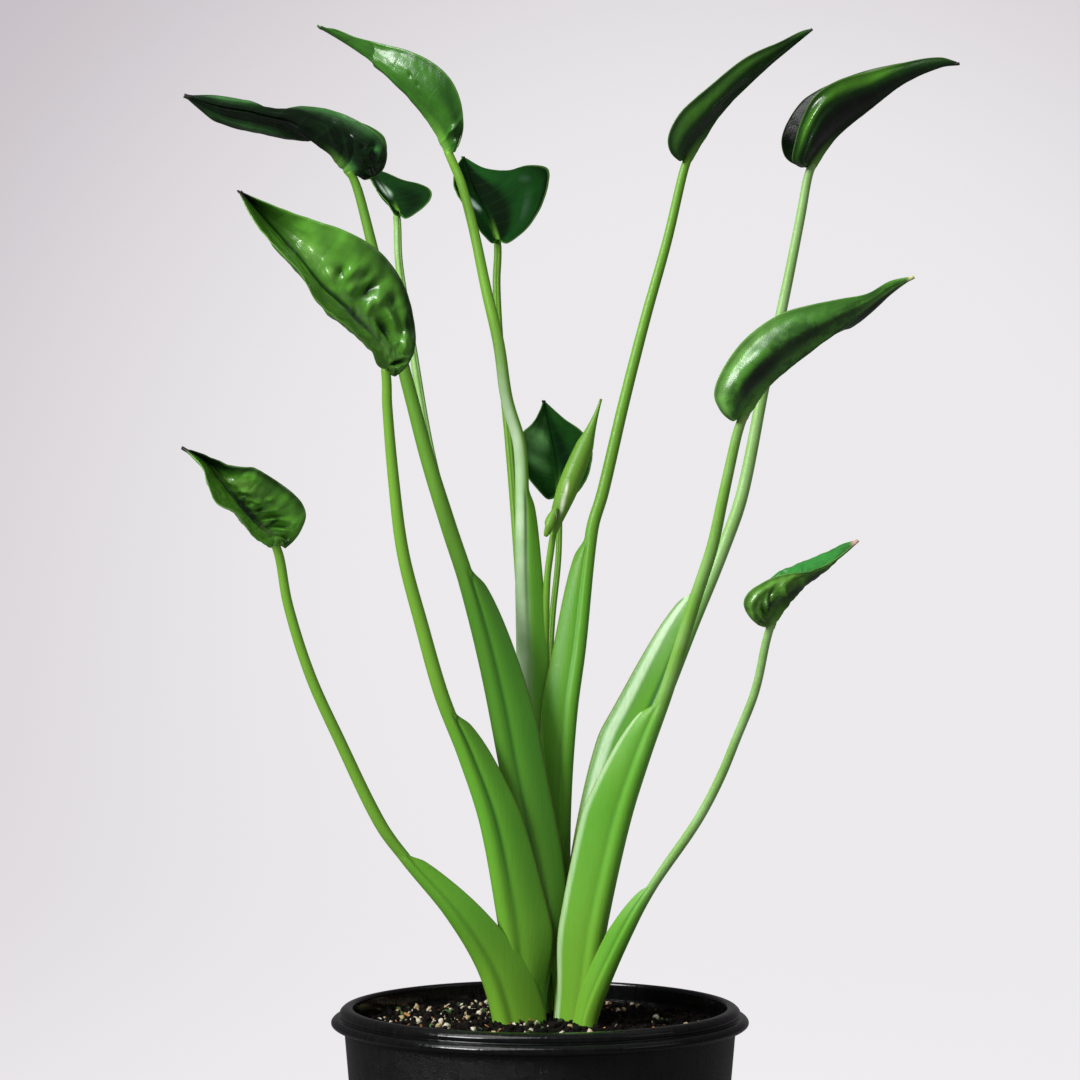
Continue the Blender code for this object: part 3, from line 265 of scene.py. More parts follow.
BLADES = {
    1: Blade(
        midrib=((-104, -38, 322), (-115, -48, 335.5), (-125, -59, 348.5), (-131.5, -65, 353)),
        near_margin=((-100.5, -44, 316.5), (-106.5, -54, 322), (-111.5, -61, 328.5), (-119, -66, 334.5),
            (-123.5, -68, 345.5), (-128.5, -67, 351)),
        far_margin=((-95.5, -33, 316), (-91, -30, 320), (-88, -28, 327.5), (-89.5, -28, 333),
            (-96, -32, 339.5), (-105.5, -42, 344.5), (-116, -50, 346), (-125, -60, 350.5)),
        ripple=0.5, phase=0.1,
    ),
    2: Blade(
        midrib=((-60, -33, 390.5), (-66.5, -36, 398.5), (-78, -42, 410), (-92.5, -49, 427),
            (-111.5, -55, 448.5)),
        near_margin=((-60, -40, 384), (-63.5, -46, 390.5), (-72, -52, 398), (-79, -56, 404),
            (-85, -59, 411), (-92.5, -60, 422), (-103, -59, 433), (-108.5, -57, 442.5)),
        far_margin=((-54.5, -30, 380.5), (-50, -27, 384.5), (-47, -25, 390.5), (-47, -23, 402),
            (-50.5, -24, 414.5), (-59, -27, 425.5), (-73, -36, 434), (-89.5, -45, 439.5),
            (-102.5, -52, 444.5)),
        ripple=0.5, phase=0.4,
    ),
    3: Blade(
        midrib=((-80.5, -2, 468), (-87, -6, 472.5), (-97.5, -12, 478.5), (-108.5, -16, 481),
            (-121.5, -18, 483), (-135, -20, 487.5)),
        near_margin=((-67.5, -3, 458), (-61, -8, 461.5), (-59, -12, 468), (-61.5, -13, 473.5),
            (-70, -12, 480), (-80, -11, 484), (-91.5, -13, 485), (-101.5, -15, 483.5),
            (-111.5, -18, 486.5), (-123.5, -19, 488)),
        far_margin=((-65, 7, 459.5), (-60, 12, 467.5), (-60.5, 15, 475.5), (-66.5, 16, 480),
            (-74.5, 13, 481.5), (-82.5, 8, 476.5), (-89.5, 2, 473), (-106.5, -7, 474.5),
            (-118, -12, 476.5), (-127, -17, 481)),
        ripple=0.4, phase=0.7,
    ),
    4: Blade(
        midrib=((-39.5, 30, 478.5), (-48, 28, 490), (-60.5, 25, 502.5), (-73, 22, 512),
            (-87, 20, 520.5)),
        near_margin=((-32.5, 24, 473.5), (-30.5, 20, 478.5), (-30, 17, 483.5), (-31.5, 16, 491.5),
            (-36, 15, 500), (-43, 15, 506.5), (-51.5, 16, 511), (-60.5, 17, 513.5),
            (-72, 18, 516.5), (-80.5, 19, 520)),
        far_margin=((-33.5, 38, 475), (-31.5, 43, 481.5), (-31.5, 45, 488), (-33.5, 45, 496),
            (-38, 43, 503.5), (-45.5, 40, 509), (-56, 35, 512.5), (-65, 30, 515),
            (-75.5, 25, 517)),
        ripple=0.3, phase=0.2,
    ),
    5: Blade(
        midrib=((-60.5, 84, 457), (-65, 98, 465), (-72, 112, 474.5)),
        near_margin=((-59.5, 70, 452), (-62, 72, 456), (-65.5, 78, 460), (-68.5, 90, 465.5),
            (-71.5, 102, 470.5)),
        far_margin=((-54.5, 70, 449.5), (-49.5, 67, 452), (-45, 68, 456.5), (-44.5, 74, 461),
            (-49, 84, 464.5), (-58, 96, 468.5), (-65, 105, 472)),
        ripple=0.3, phase=0.5,
    ),
    6: Blade(
        midrib=((-21, 76, 451), (-27, 92, 464), (-32, 105, 478.5)),
        near_margin=((-19.5, 57, 438.5), (-24, 57, 443.5), (-30.5, 63, 454), (-35, 74, 463),
            (-34.5, 90, 472)),
        far_margin=((-13, 57, 438.5), (-5.5, 55, 444), (0.5, 57, 453), (3, 61, 461.5),
            (3, 68, 469.5), (-4, 78, 472), (-13, 90, 471), (-23, 98, 473)),
        ripple=0.3, phase=0.9,
    ),
    7: Blade(
        midrib=((7, 58, 348), (5, 68, 359.5), (1.5, 80, 376)),
        near_margin=((3, 43, 335.5), (-1.5, 41, 340), (-6.5, 43, 347), (-9, 49, 355),
            (-7.5, 58, 361.5), (-3, 66, 366), (0, 74, 371.5)),
        far_margin=((11.5, 43, 335.5), (16.5, 41, 340), (20, 45, 348), (20.5, 53, 356.5),
            (16, 64, 363.5), (9.5, 72, 368.5), (4, 78, 373.5)),
        ripple=0.3, phase=0.3,
    ),
    9: Blade(
        midrib=((64, 26, 477.5), (70.5, 27, 487), (88, 29, 504.5), (107, 30, 520.5)),
        near_margin=((54.5, 18, 467.5), (51, 13, 470.5), (50, 10, 475), (52, 8, 481), (56, 7, 487),
            (63, 8, 493.5), (71.5, 11, 500.5), (82.5, 16, 508.5), (95, 23, 515), (102.5, 28, 519)),
        far_margin=((56, 34, 470.5), (53.5, 40, 475.5), (53.5, 43, 481.5), (56.5, 44, 488),
            (62.5, 44, 495), (70.5, 42, 501), (80, 39, 507.5), (90, 36, 512.5), (99.5, 33, 517.5)),
        ripple=0.3, phase=0.6,
    ),
    10: Blade(
        midrib=((115.5, 26, 477.5), (129, 24, 488.5), (142.5, 22, 498.5), (156.5, 20, 504.5),
            (164, 20, 505.5)),
        near_margin=((102.5, 19, 465.5), (99, 13, 468), (99.5, 8, 474), (101.5, 6, 482),
            (107, 6, 491.5), (117, 9, 498), (129, 13, 502), (142.5, 16, 505.5),
            (156.5, 19, 507.5)),
        far_margin=((102, 38, 467.5), (97.5, 43, 471.5), (96.5, 46, 478.5), (100, 48, 487.5),
            (106, 48, 495.5), (117.5, 44, 501.5), (131.5, 36, 505), (144, 30, 507),
            (156.5, 23, 508)),
        ripple=0.3, phase=0.0,
    ),
    11: Blade(
        midrib=((84, -36, 376), (100, -38, 389.5), (109, -40, 396), (120, -42, 404.5),
            (130, -44, 412), (139, -45, 417)),
        near_margin=((72, -43, 363.5), (67.5, -49, 367), (65, -53, 373.5), (68, -55, 383),
            (76, -55, 393.5), (88.5, -53, 402), (100, -51, 406), (111, -49, 408.5),
            (121.5, -47, 410.5), (130, -46, 415)),
        far_margin=((73, -27, 365), (69.5, -21, 370), (70, -17, 378.5), (77, -14, 391.5),
            (88.5, -13, 400), (100.5, -17, 403.5), (110, -26, 399.5), (117, -33, 399),
            (123.5, -37, 403.5), (130.5, -41, 410.5)),
        ripple=0.4, phase=0.8,
    ),
    12: Blade(
        midrib=((87.5, -46, 290.5), (96.5, -45, 300.5), (104, -43, 306.5), (111, -42, 312.5),
            (118.5, -40, 319)),
        near_margin=((82, -52, 287.5), (78, -58, 290), (75.5, -62, 294.5), (76, -63, 298),
            (79.5, -62, 301.5), (85, -60, 304.5), (93, -57, 307), (99.5, -53, 307.5),
            (105.5, -48, 309), (111, -44, 312.5)),
        far_margin=((83.5, -38, 290), (82, -33, 294), (82.5, -30, 299.5), (86.5, -28, 304),
            (91.5, -27, 307.5), (98.5, -28, 310.5), (106, -31, 314), (112.5, -35, 317)),
        ripple=0.3, phase=0.35,
    ),
}

# The youngest leaf, still rolled up
ROLLED_LEAF = 8
ROLLED_AXIS = ((5.1, 15.0, 321.0), (8.5, 14.8, 338.0), (17.0, 15.0, 352.0), (23.8, 16.0, 374.0))
ROLLED_FOOT_RADIUS = 1.3
ROLLED_RADIUS = 4.6
ROLLED_TIP_RADIUS = 0.5
ROLLED_BELLY = 0.42
ROLLED_POINT = 0.7
ROLLED_STEP = 0.14
ROLLED_TWIST = 0.35
ROLLED_SIDES = 48
ROLLED_RINGS = 64
STEP_END = 0.97  # share of a turn at which the wound radius has stepped in
CURL_AXIS = ((6.4, 11.5, 331.5), (5.0, 10.6, 328.0), (3.4, 10.0, 324.0), (2.0, 10.2, 320.4))
CURL_RADIUS = 2.3
CURL_SPAN = (0.06, 0.9)  # where the lobe's round outline starts, and how much of it is used
CURL_FULLNESS = 0.6
CURL_STEP = 0.3
CURL_TWIST = 0.9
NO_RIB = 9.0  # a distance at which the midrib's bands don't reach

# What the finer shapes add to the solids, in millimetres and shares of a blade
COLUMN_CROWDING = 1.25
RIB_WIDTH = 1.5
TIP_RIB_WIDTH = 0.55
GROOVE_DEPTH = 0.25
VEIN_COUNT = 9.0
VEIN_SWEEP = 0.06
VEIN_SHARPNESS = 7.0
VEIN_LINE_SHARPNESS = 28.0
VEIN_CURVE = 1.5
PUCKERS_ALONG = 11.0
PUCKERS_ACROSS = 3.4
PUCKERS_PER_LEAF = 7.3
FINE_PUCKER_SCALE = 2.7
RELIEF_RISE = 0.12  # share of a blade over which its puckers grow from the stalk
RELIEF_FALL = 0.3  # share over which they fade before the tip
RELIEF_FOOT = 0.05
QUILT_FULLNESS = 0.7
ROLL_START = 0.55
ROLL_REACH = 0.45
EDGE_START = 0.75
EDGE_REACH = 0.25
GROOVE_SHARE = 0.6  # of the rib's width
RIM_BULGE = 0.45  # of the margin's thickness
STALK_OVERLAP = 2.2
STALK_END = ((0.92, 0.6), (0.6, 1.0))  # shares of the joint's radius and of the overlap
SHEATH_LEVEL = 0.25  # rise over the shoulder at which the sections turn square to the stem
SPREAD_GROWTH = 0.7
STATION_CROWDING = 1.5
CHANNEL = (0.5, 0.22)  # the groove's depth at the shoulder and at the foot, in half widths
WING_WRAP = 1.25
WING_ROUNDNESS = 1.6
SHEATH_RINGS = 44
STEM_RINGS = 40
STEM_ANGLES = (  # degrees from the back, and share of the radius
    (21, 1.0), (42, 1.0), (65, 1.0), (88, 1.0), (104, 1.0), (117, 1.0), (128, 1.0), (138, 1.0),
    (146, 1.0), (152, 1.0), (158, 0.99), (164, 0.97), (171, 0.92),
)
STEM_FRONT = 0.86  # share of the radius in front, where the stem is a little flat
LOOP_POINTS = 28


@dataclass(frozen=True)
class Look:
    """How one blade's surface differs from the others': colours, bumps and lighter and darker areas, which
    are partly painted highlights and painted shade.
    """

    # The upper and under greens are set blade by blade for how much light falls on each, so they hold painted
    # light and shade as well as the leaf's own green
    upper: tuple
    under: tuple
    dark_and_shade: tuple  # colour of the darkest areas: real dark patches and blotches, and painted shade in hollows and creases
    light: tuple  # colour of the lightest areas: paler patches, and painted highlights and glints
    quilt: float = 0.2  # how far the blade swells between its side veins
    pucker: float = 0.3  # how far it puckers at random
    roll: tuple = (0.0, 0.0)  # how far the near and the far margin bend back
    dry_tip: float = 0.02  # share of the blade that has dried
    blotch: float = 0.0  # how strongly it is blotched along the middle
    roughness: float = 0.2
    shine: float = 0.5  # specular level
    tip: tuple = (0.02, 0.02, 0.014)  # colour of the dried tip
    tones: tuple = ()  # (along, across, reach along, reach across, lighter or darker): real patches, painted highlights and painted shade
    bumps: tuple = ()  # (along, across, reach along, reach across, slant, height)
    bends: tuple = ()  # the same, moved backward by so many millimetres


# Each blade's greens hold painted light and shade for how it is lit, and its tones add painted highlights,
# glints and the shade of hollows and creases to real patches
LOOKS = {
    1: Look(
        upper=(0.11, 0.36, 0.03), under=(0.26, 0.6, 0.15), dark_and_shade=(0.006, 0.03, 0.005),
        light=(0.2, 0.48, 0.06), quilt=0.1, pucker=0.8, roll=(0.0, 1.4), dry_tip=0.07, roughness=0.16,
        tones=((0.8, -0.95, 0.2, 0.35, -1.0), (0.4, -1.05, 0.3, 0.2, -0.9), (0.9, -0.4, 0.1, 0.8, -0.8),
               (0.62, -0.5, 0.12, 0.25, 0.8), (0.45, -0.7, 0.15, 0.2, 0.4), (0.6, 0.6, 0.5, 0.45, 0.3),
               (0.55, -0.08, 0.2, 0.1, -0.95), (0.05, -0.5, 0.06, 0.6, -0.8), (0.3, 0.0, 0.2, 0.1, -0.9),
               (0.54, -0.25, 0.02, 0.1, -0.8), (0.4, -0.3, 0.02, 0.12, -0.8), (0.28, -0.3, 0.02, 0.2, -0.9)),
        bumps=((0.66, -0.4, 0.06, 0.2, -0.2, 1.4), (0.575, -0.22, 0.018, 0.12, -0.28, -2.0),
               (0.54, -0.42, 0.03, 0.1, -0.28, 1.4), (0.49, -0.24, 0.014, 0.13, -0.28, -1.8),
               (0.45, -0.38, 0.022, 0.1, -0.28, 1.9), (0.405, -0.28, 0.013, 0.16, -0.28, -2.0),
               (0.36, -0.4, 0.02, 0.12, -0.28, 1.6), (0.39, -0.62, 0.014, 0.06, -0.1, 1.0),
               (0.315, -0.34, 0.013, 0.22, -0.26, -2.2), (0.27, -0.42, 0.022, 0.18, -0.26, 2.2),
               (0.225, -0.36, 0.013, 0.22, -0.24, -2.0), (0.175, -0.45, 0.02, 0.2, -0.2, 1.6),
               (0.12, -0.42, 0.014, 0.25, -0.15, -1.6), (0.075, -0.5, 0.018, 0.2, -0.1, 1.0),
               (0.45, 0.5, 0.05, 0.2, 0.2, 0.8), (0.35, 0.5, 0.04, 0.2, 0.2, -0.8)),
        bends=((0.45, -1.05, 0.35, 0.7, 0.0, -7.0), (0.86, -0.4, 0.26, 1.0, 0.0, 13.0)),
    ),
    2: Look(
        upper=(0.095, 0.3, 0.028), under=(0.13, 0.36, 0.05), dark_and_shade=(0.008, 0.04, 0.005),
        light=(0.2, 0.48, 0.08), quilt=0.1, pucker=1.0, roll=(0.0, 1.2), dry_tip=0.04, roughness=0.17,
        tones=((0.72, -0.4, 0.1, 0.3, 0.8), (0.25, -1.0, 0.25, 0.14, -1.0), (0.29, -0.3, 0.05, 0.1, -1.0),
               (0.435, -0.52, 0.012, 0.16, -0.9), (0.95, -0.3, 0.06, 0.8, -0.5),
               (0.56, -0.42, 0.013, 0.06, -0.8),
               (0.23, -0.8, 0.04, 0.08, -0.9), (0.1, -0.4, 0.016, 0.35, -1.0), (0.6, 0.5, 0.4, 0.5, 0.2),
               (0.7, -0.02, 0.3, 0.07, -0.9), (0.02, -0.5, 0.04, 0.6, -0.8), (0.35, 0.0, 0.2, 0.08, -0.6),
               (0.6, -0.3, 0.03, 0.1, 0.7), (0.5, -0.5, 0.02, 0.14, 0.6), (0.385, -0.45, 0.02, 0.1, 0.6),
               (0.3, -0.53, 0.05, 0.06, 0.7), (0.18, -0.62, 0.03, 0.1, 0.6), (0.34, -0.7, 0.03, 0.08, -0.6)),
        bumps=((0.74, -0.32, 0.05, 0.16, 0.0, 0.9), (0.6, -0.27, 0.022, 0.08, 0.0, 1.3),
               (0.565, -0.42, 0.016, 0.1, -0.1, -2.0), (0.53, -0.52, 0.02, 0.12, -0.1, 1.7),
               (0.5, -0.34, 0.016, 0.08, -0.1, 1.3), (0.475, -0.62, 0.014, 0.08, -0.1, -1.4),
               (0.435, -0.5, 0.015, 0.2, -0.1, -2.4), (0.4, -0.32, 0.014, 0.08, 0.0, 1.3),
               (0.385, -0.52, 0.024, 0.12, -0.1, 2.4), (0.34, -0.68, 0.02, 0.1, -0.1, -2.0),
               (0.29, -0.31, 0.06, 0.08, 0.0, -3.0), (0.3, -0.52, 0.05, 0.06, 0.0, 2.4),
               (0.25, -0.66, 0.04, 0.05, 0.0, -1.6), (0.26, -0.84, 0.03, 0.07, 0.0, 1.2),
               (0.2, -0.45, 0.02, 0.08, 0.0, 1.2), (0.17, -0.64, 0.03, 0.12, -0.1, 2.2),
               (0.13, -0.75, 0.014, 0.2, 0.0, -1.6), (0.095, -0.42, 0.012, 0.35, 0.0, -2.6),
               (0.05, -0.5, 0.025, 0.35, 0.0, 1.4), (0.56, 0.8, 0.05, 0.3, 0.0, 1.2),
               (0.4, 0.7, 0.02, 0.3, 0.0, -0.8), (0.48, 0.0, 0.03, 0.12, 0.0, 0.5)),
        bends=((0.5, -1.05, 0.35, 0.7, 0.0, -11.0), (0.92, -0.4, 0.25, 1.0, 0.0, 18.0)),
    ),
    3: Look(
        upper=(0.02, 0.1, 0.014), under=(0.0045, 0.018, 0.0045), dark_and_shade=(0.0025, 0.007, 0.0025),
        light=(0.06, 0.22, 0.05), quilt=0.1, pucker=0.5, roughness=0.18, dry_tip=0.02,
        tones=((0.82, 0.8, 0.1, 0.25, 1.0), (0.45, 0.95, 0.25, 0.16, 0.6), (0.75, -0.7, 0.16, 0.3, 0.6),
               (0.12, 0.05, 0.1, 0.2, 0.9), (0.22, 0.75, 0.012, 0.12, 0.9), (0.15, 0.75, 0.012, 0.14, 0.8),
               (0.08, 0.68, 0.012, 0.16, 0.8), (0.7, 0.15, 0.3, 0.12, -1.0)),
        bumps=((0.22, 0.75, 0.014, 0.1, 0.2, 2.6), (0.185, 0.78, 0.01, 0.12, 0.2, -2.2),
               (0.15, 0.75, 0.012, 0.14, 0.1, 2.6), (0.11, 0.7, 0.01, 0.16, 0.0, -2.2),
               (0.08, 0.68, 0.012, 0.16, 0.0, 2.2), (0.25, 0.6, 0.01, 0.05, 0.2, 1.4),
               (0.27, 0.4, 0.014, 0.25, 0.3, 1.4), (0.33, 0.35, 0.014, 0.25, 0.3, 1.2),
               (0.4, 0.4, 0.012, 0.2, 0.3, -0.9), (0.5, 0.62, 0.35, 0.05, 0.0, -1.6),
               (0.55, 0.72, 0.4, 0.05, 0.0, 1.4), (0.75, 0.12, 0.2, 0.05, 0.0, 1.2),
               (0.7, -0.4, 0.2, 0.06, 0.0, 1.0), (0.7, -0.65, 0.2, 0.05, 0.0, -0.8),
               (0.88, -0.9, 0.03, 0.2, 0.0, -1.0)),
        bends=((0.5, 1.05, 0.4, 0.34, 0.0, 8.0), (0.12, 0.9, 0.1, 0.4, 0.0, 7.0)),
    ),
    4: Look(
        upper=(0.05, 0.2, 0.02), under=(0.05, 0.19, 0.018), dark_and_shade=(0.012, 0.06, 0.006),
        light=(0.13, 0.36, 0.04), quilt=0.05, pucker=0.4, roughness=0.24, tip=(0.05, 0.14, 0.02),
        tones=((0.82, 0.6, 0.12, 0.6, 0.5), (0.33, 0.75, 0.14, 0.25, -0.75), (0.5, 0.95, 0.2, 0.1, -0.4),
               (0.1, 0.6, 0.07, 0.5, -0.8), (0.2, 0.05, 0.25, 0.12, 0.7), (0.45, 0.35, 0.2, 0.3, -0.25)),
        bumps=((0.56, 0.5, 0.012, 0.05, 0.0, 0.8), (0.51, 0.42, 0.01, 0.04, 0.0, 0.6),
               (0.2, 0.5, 0.014, 0.3, 0.0, -1.6), (0.15, 0.6, 0.025, 0.3, 0.0, 1.4)),
        bends=((0.5, 1.05, 0.35, 0.5, 0.0, 7.0), (0.88, 0.7, 0.24, 0.9, 0.0, 10.5),
               (0.15, 1.0, 0.1, 0.4, 0.0, 5.0)),
    ),
    5: Look(
        upper=(0.007, 0.032, 0.007), under=(0.03, 0.13, 0.02), dark_and_shade=(0.004, 0.012, 0.004),
        light=(0.55, 0.75, 0.55), quilt=0.05, pucker=0.2, roughness=0.4, shine=0.0,
        tones=((0.62, 0.12, 0.14, 0.3, 1.0), (0.55, -0.9, 0.4, 0.2, 0.06), (0.35, -0.5, 0.3, 0.3, -1.0),
               (0.7, 0.9, 0.3, 0.2, 0.2)),
    ),
    6: Look(
        upper=(0.009, 0.052, 0.009), under=(0.04, 0.17, 0.02), dark_and_shade=(0.004, 0.01, 0.004),
        light=(0.5, 0.7, 0.6), quilt=0.05, pucker=0.3, roughness=0.4, shine=0.0,
        tones=((0.52, 0.35, 0.07, 0.22, 1.0), (0.32, -0.6, 0.15, 0.1, 0.14), (0.55, -0.75, 0.06, 0.12, 0.15),
               (0.8, -0.2, 0.25, 0.3, -1.0), (0.35, -0.15, 0.4, 0.2, -1.0), (0.35, 0.75, 0.3, 0.3, 0.12),
               (0.3, -1.0, 0.3, 0.12, -1.0), (0.8, 0.5, 0.15, 0.4, -0.6)),
        bumps=((0.3, -0.55, 0.3, 0.1, 0.0, 1.2), (0.3, -0.2, 0.3, 0.12, 0.0, -0.8)),
    ),
    7: Look(
        upper=(0.01, 0.055, 0.008), under=(0.04, 0.16, 0.03), dark_and_shade=(0.004, 0.016, 0.005),
        light=(0.22, 0.55, 0.17), quilt=0.1, pucker=0.3, roughness=0.5, shine=0.0,
        tones=((0.66, 0.55, 0.11, 0.5, 0.7), (0.45, 0.6, 0.09, 0.35, 0.45), (0.85, 0.5, 0.06, 0.5, 0.15),
               (0.6, -0.2, 0.4, 0.25, -1.0), (0.8, -0.6, 0.2, 0.3, 0.12), (0.4, 0.2, 0.1, 0.3, 0.15)),
    ),
    9: Look(
        upper=(0.02, 0.1, 0.01), under=(0.018, 0.07, 0.01), dark_and_shade=(0.005, 0.022, 0.006),
        light=(0.05, 0.17, 0.014), quilt=0.05, pucker=0.2, roughness=0.24,
        tones=((0.3, 0.72, 0.2, 0.2, 1.0), (0.7, 0.8, 0.25, 0.2, 0.7), (0.4, 0.25, 0.35, 0.22, -1.0),
               (0.1, 0.05, 0.1, 0.15, 0.6)),
        bumps=((0.55, 0.22, 0.1, 0.08, 0.0, 0.5),),
        bends=((0.4, 1.05, 0.4, 0.45, 0.0, 8.0),),
    ),
    10: Look(
        upper=(0.01, 0.045, 0.006), under=(0.008, 0.035, 0.005), dark_and_shade=(0.0022, 0.006, 0.0022),
        light=(0.06, 0.2, 0.014), quilt=0.05, pucker=0.2, roughness=0.14,
        tones=((0.6, 0.85, 0.15, 0.22, 1.0), (0.3, 0.8, 0.14, 0.12, 0.9), (0.45, 0.3, 0.4, 0.3, -1.0),
               (0.25, -0.8, 0.3, 0.4, -1.0), (0.9, 0.6, 0.1, 0.5, 0.3), (0.03, 0.0, 0.05, 0.2, 0.9)),
        bumps=((0.25, 0.66, 0.16, 0.06, 0.0, 1.3), (0.27, 0.78, 0.15, 0.05, 0.0, -0.9),
               (0.32, 0.92, 0.12, 0.07, 0.0, 0.8)),
        bends=((0.22, 1.08, 0.22, 0.32, 0.0, 13.0), (0.65, 1.05, 0.25, 0.4, 0.0, 5.0)),
    ),
    11: Look(
        upper=(0.03, 0.12, 0.016), under=(0.065, 0.23, 0.024), dark_and_shade=(0.005, 0.02, 0.004),
        light=(0.17, 0.42, 0.08), quilt=0.2, pucker=0.4, blotch=0.5, roughness=0.26, tip=(0.45, 0.5, 0.2),
        tones=((0.15, 0.85, 0.14, 0.2, 0.8), (0.4, 0.95, 0.14, 0.14, 1.0), (0.35, 0.35, 0.2, 0.22, -1.0),
               (0.65, 0.4, 0.12, 0.25, -0.6), (0.86, 0.8, 0.05, 0.3, -0.6), (0.85, -0.5, 0.15, 0.5, -1.0),
               (0.88, 0.08, 0.12, 0.12, 0.9), (0.99, 0.0, 0.04, 1.0, 1.0)),
        bumps=((0.4, 0.88, 0.18, 0.12, 0.0, 0.9), (0.45, 0.5, 0.3, 0.1, 0.0, -0.6)),
        bends=((0.35, 1.05, 0.35, 0.4, 0.0, 11.0),),
    ),
    12: Look(
        upper=(0.035, 0.25, 0.04), under=(0.07, 0.2, 0.02), dark_and_shade=(0.012, 0.04, 0.006),
        light=(0.13, 0.34, 0.045), quilt=0.1, pucker=0.9, blotch=0.25, roughness=0.17, dry_tip=0.04,
        tip=(0.5, 0.32, 0.26),
        tones=((0.55, 0.15, 0.25, 0.15, -1.0), (0.22, 0.85, 0.14, 0.16, 0.8), (0.5, 0.9, 0.3, 0.1, 0.8),
               (0.3, 0.42, 0.05, 0.12, -1.0), (0.2, 0.25, 0.08, 0.15, 0.5), (0.68, 0.4, 0.1, 0.4, -0.7),
               (0.3, -0.6, 0.2, 0.3, -0.9), (0.12, 0.45, 0.04, 0.12, -0.8)),
        bumps=((0.36, 0.62, 0.03, 0.12, 0.3, 1.6), (0.3, 0.5, 0.016, 0.2, 0.4, -2.2),
               (0.24, 0.42, 0.025, 0.14, 0.3, 1.8), (0.17, 0.45, 0.014, 0.16, 0.3, -1.6),
               (0.12, 0.65, 0.025, 0.14, 0.2, 1.4), (0.27, 0.8, 0.12, 0.06, 0.0, -1.2),
               (0.5, 0.5, 0.03, 0.14, 0.1, 1.4), (0.44, 0.45, 0.018, 0.18, 0.1, -1.6),
               (0.58, 0.4, 0.02, 0.18, 0.1, -1.2), (0.65, 0.45, 0.025, 0.14, 0.1, 0.8)),
        bends=((0.3, 1.05, 0.35, 0.4, 0.0, 8.0),),
    ),
}
# The young leaf's tones are a painted highlight on the lower part of the spindle, in its light colour
YOUNG_LOOK = Look(
    upper=(0.15, 0.33, 0.03), under=(0.15, 0.33, 0.03), dark_and_shade=(0.07, 0.22, 0.02), light=(0.85, 0.92, 0.7),
    roughness=0.36, shine=0.35, tip=(0.1, 0.2, 0.03),
    tones=((0.24, -0.29, 0.08, 0.08, 1.0), (0.37, -0.26, 0.05, 0.05, 0.9)),
)


@dataclass(frozen=True)
class Finish:
    """How a few stalks are coloured, in shares of the stem settings' colours."""

    name: str
    slot: str
    stalks: tuple
    bloom: float = 0.0  # wax over the whole stem
    wax_and_highlight: float = 0.0  # wax, and painted light, along its back alone
    groove: float = 0.0  # painted shade in the groove at the wing's root
    wing: float = 0.0  # painted shade on the wings
    highlight_band: float = 0.0  # a painted highlight band down the wings
    highlight_band_start: float = 0.72  # how far out on the wing that painted highlight band starts
    mottling: float = 0.0  # pale spots on the stem
    dark: float = 0.0  # darkening of the whole stalk


FINISHES = (
    Finish("stem_green", "stem", (1, 6, 7, 8), wing=0.05, groove=0.1),
    Finish("stem_shaded", "stem", (2,), wing=0.3, groove=0.8),
    Finish("stem_dark", "stem", (3,), wing=0.45, groove=0.7, dark=0.3),
    Finish("stem_wax_and_highlight", "waxy_stem", (4,), wax_and_highlight=0.95, wing=0.1, groove=0.2),
    Finish("stem_smooth", "waxy_stem", (9,), wing=0.1, groove=0.2, dark=0.12),
    Finish("stem_highlight_band", "stem", (11,), bloom=0.02, wing=0.05, groove=0.2, highlight_band=0.6, highlight_band_start=0.8,
           dark=0.06),
    Finish("stem_shade_and_highlight", "stem", (10,), bloom=0.2, wing=0.5, groove=0.9, highlight_band=0.8, highlight_band_start=0.62),
    Finish("stem_pale", "waxy_stem", (5,), bloom=0.12),
    Finish("stem_mottled", "stem", (12,), bloom=0.12, groove=0.1, mottling=0.08, dark=0.1),
)

# Scales of the noise for patches, specks and streaks, its detail, and the part of it that counts
LEAF_MOTTLE = (90.0, 1500.0)
STEM_MOTTLE = (70.0, 900.0)
POT_MOTTLE = (45.0, 2200.0)
GRAIN_PATCHES = 500.0
GRAIN_SPECKS = 2500.0
PATCH_DETAIL, SPECK_DETAIL, STREAK_DETAIL = 3.0, 2.0, 3.0
STEM_STREAKS = 1500.0
POT_STREAKS = 500.0
STREAK_STRETCH = (1.0, 1.0, 0.045)
NOISE_RANGE = (0.3, 0.7)

# Roughness, and how much of it the patches, specks or dry parts add
SOIL_ROUGHNESS = 0.75
RIM_ROUGHNESS, WALL_ROUGHENING = 0.11, 0.14
LEAF_ROUGHENING, DRY_ROUGHENING = 0.1, 0.4
STEM_ROUGHENING, POT_ROUGHENING, GRAIN_ROUGHENING = 0.14, 0.06, 0.2

# Depth in metres and strength of each finish's fine bumps
LEAF_BUMP = (0.0002, 0.5)
STEM_BUMP = (0.00005, 0.4)
POT_BUMP = (0.0002, 0.7)
GRAIN_BUMP = (0.0002, 0.8)
VEIN_HEIGHT, SPECK_HEIGHT, STEM_SPECK_HEIGHT, STREAK_HEIGHT = -0.5, 0.25, 0.5, 0.3

# A leaf's colours: how strongly each shows, and over what shares of the blade
LEAF_PATCHES = 0.35
LEAF_MIDRIB = 0.8
LEAF_CREASE_SHADE = 0.7
LEAF_MARGIN = 0.35
VEIN_FADE = (1.0, 0.55)
MARGIN_LINE = (0.97, 0.995)
MIDRIB_WIDTH = (2.2, 0.8)
MIDRIB_LENGTH = (0.45, 0.05)
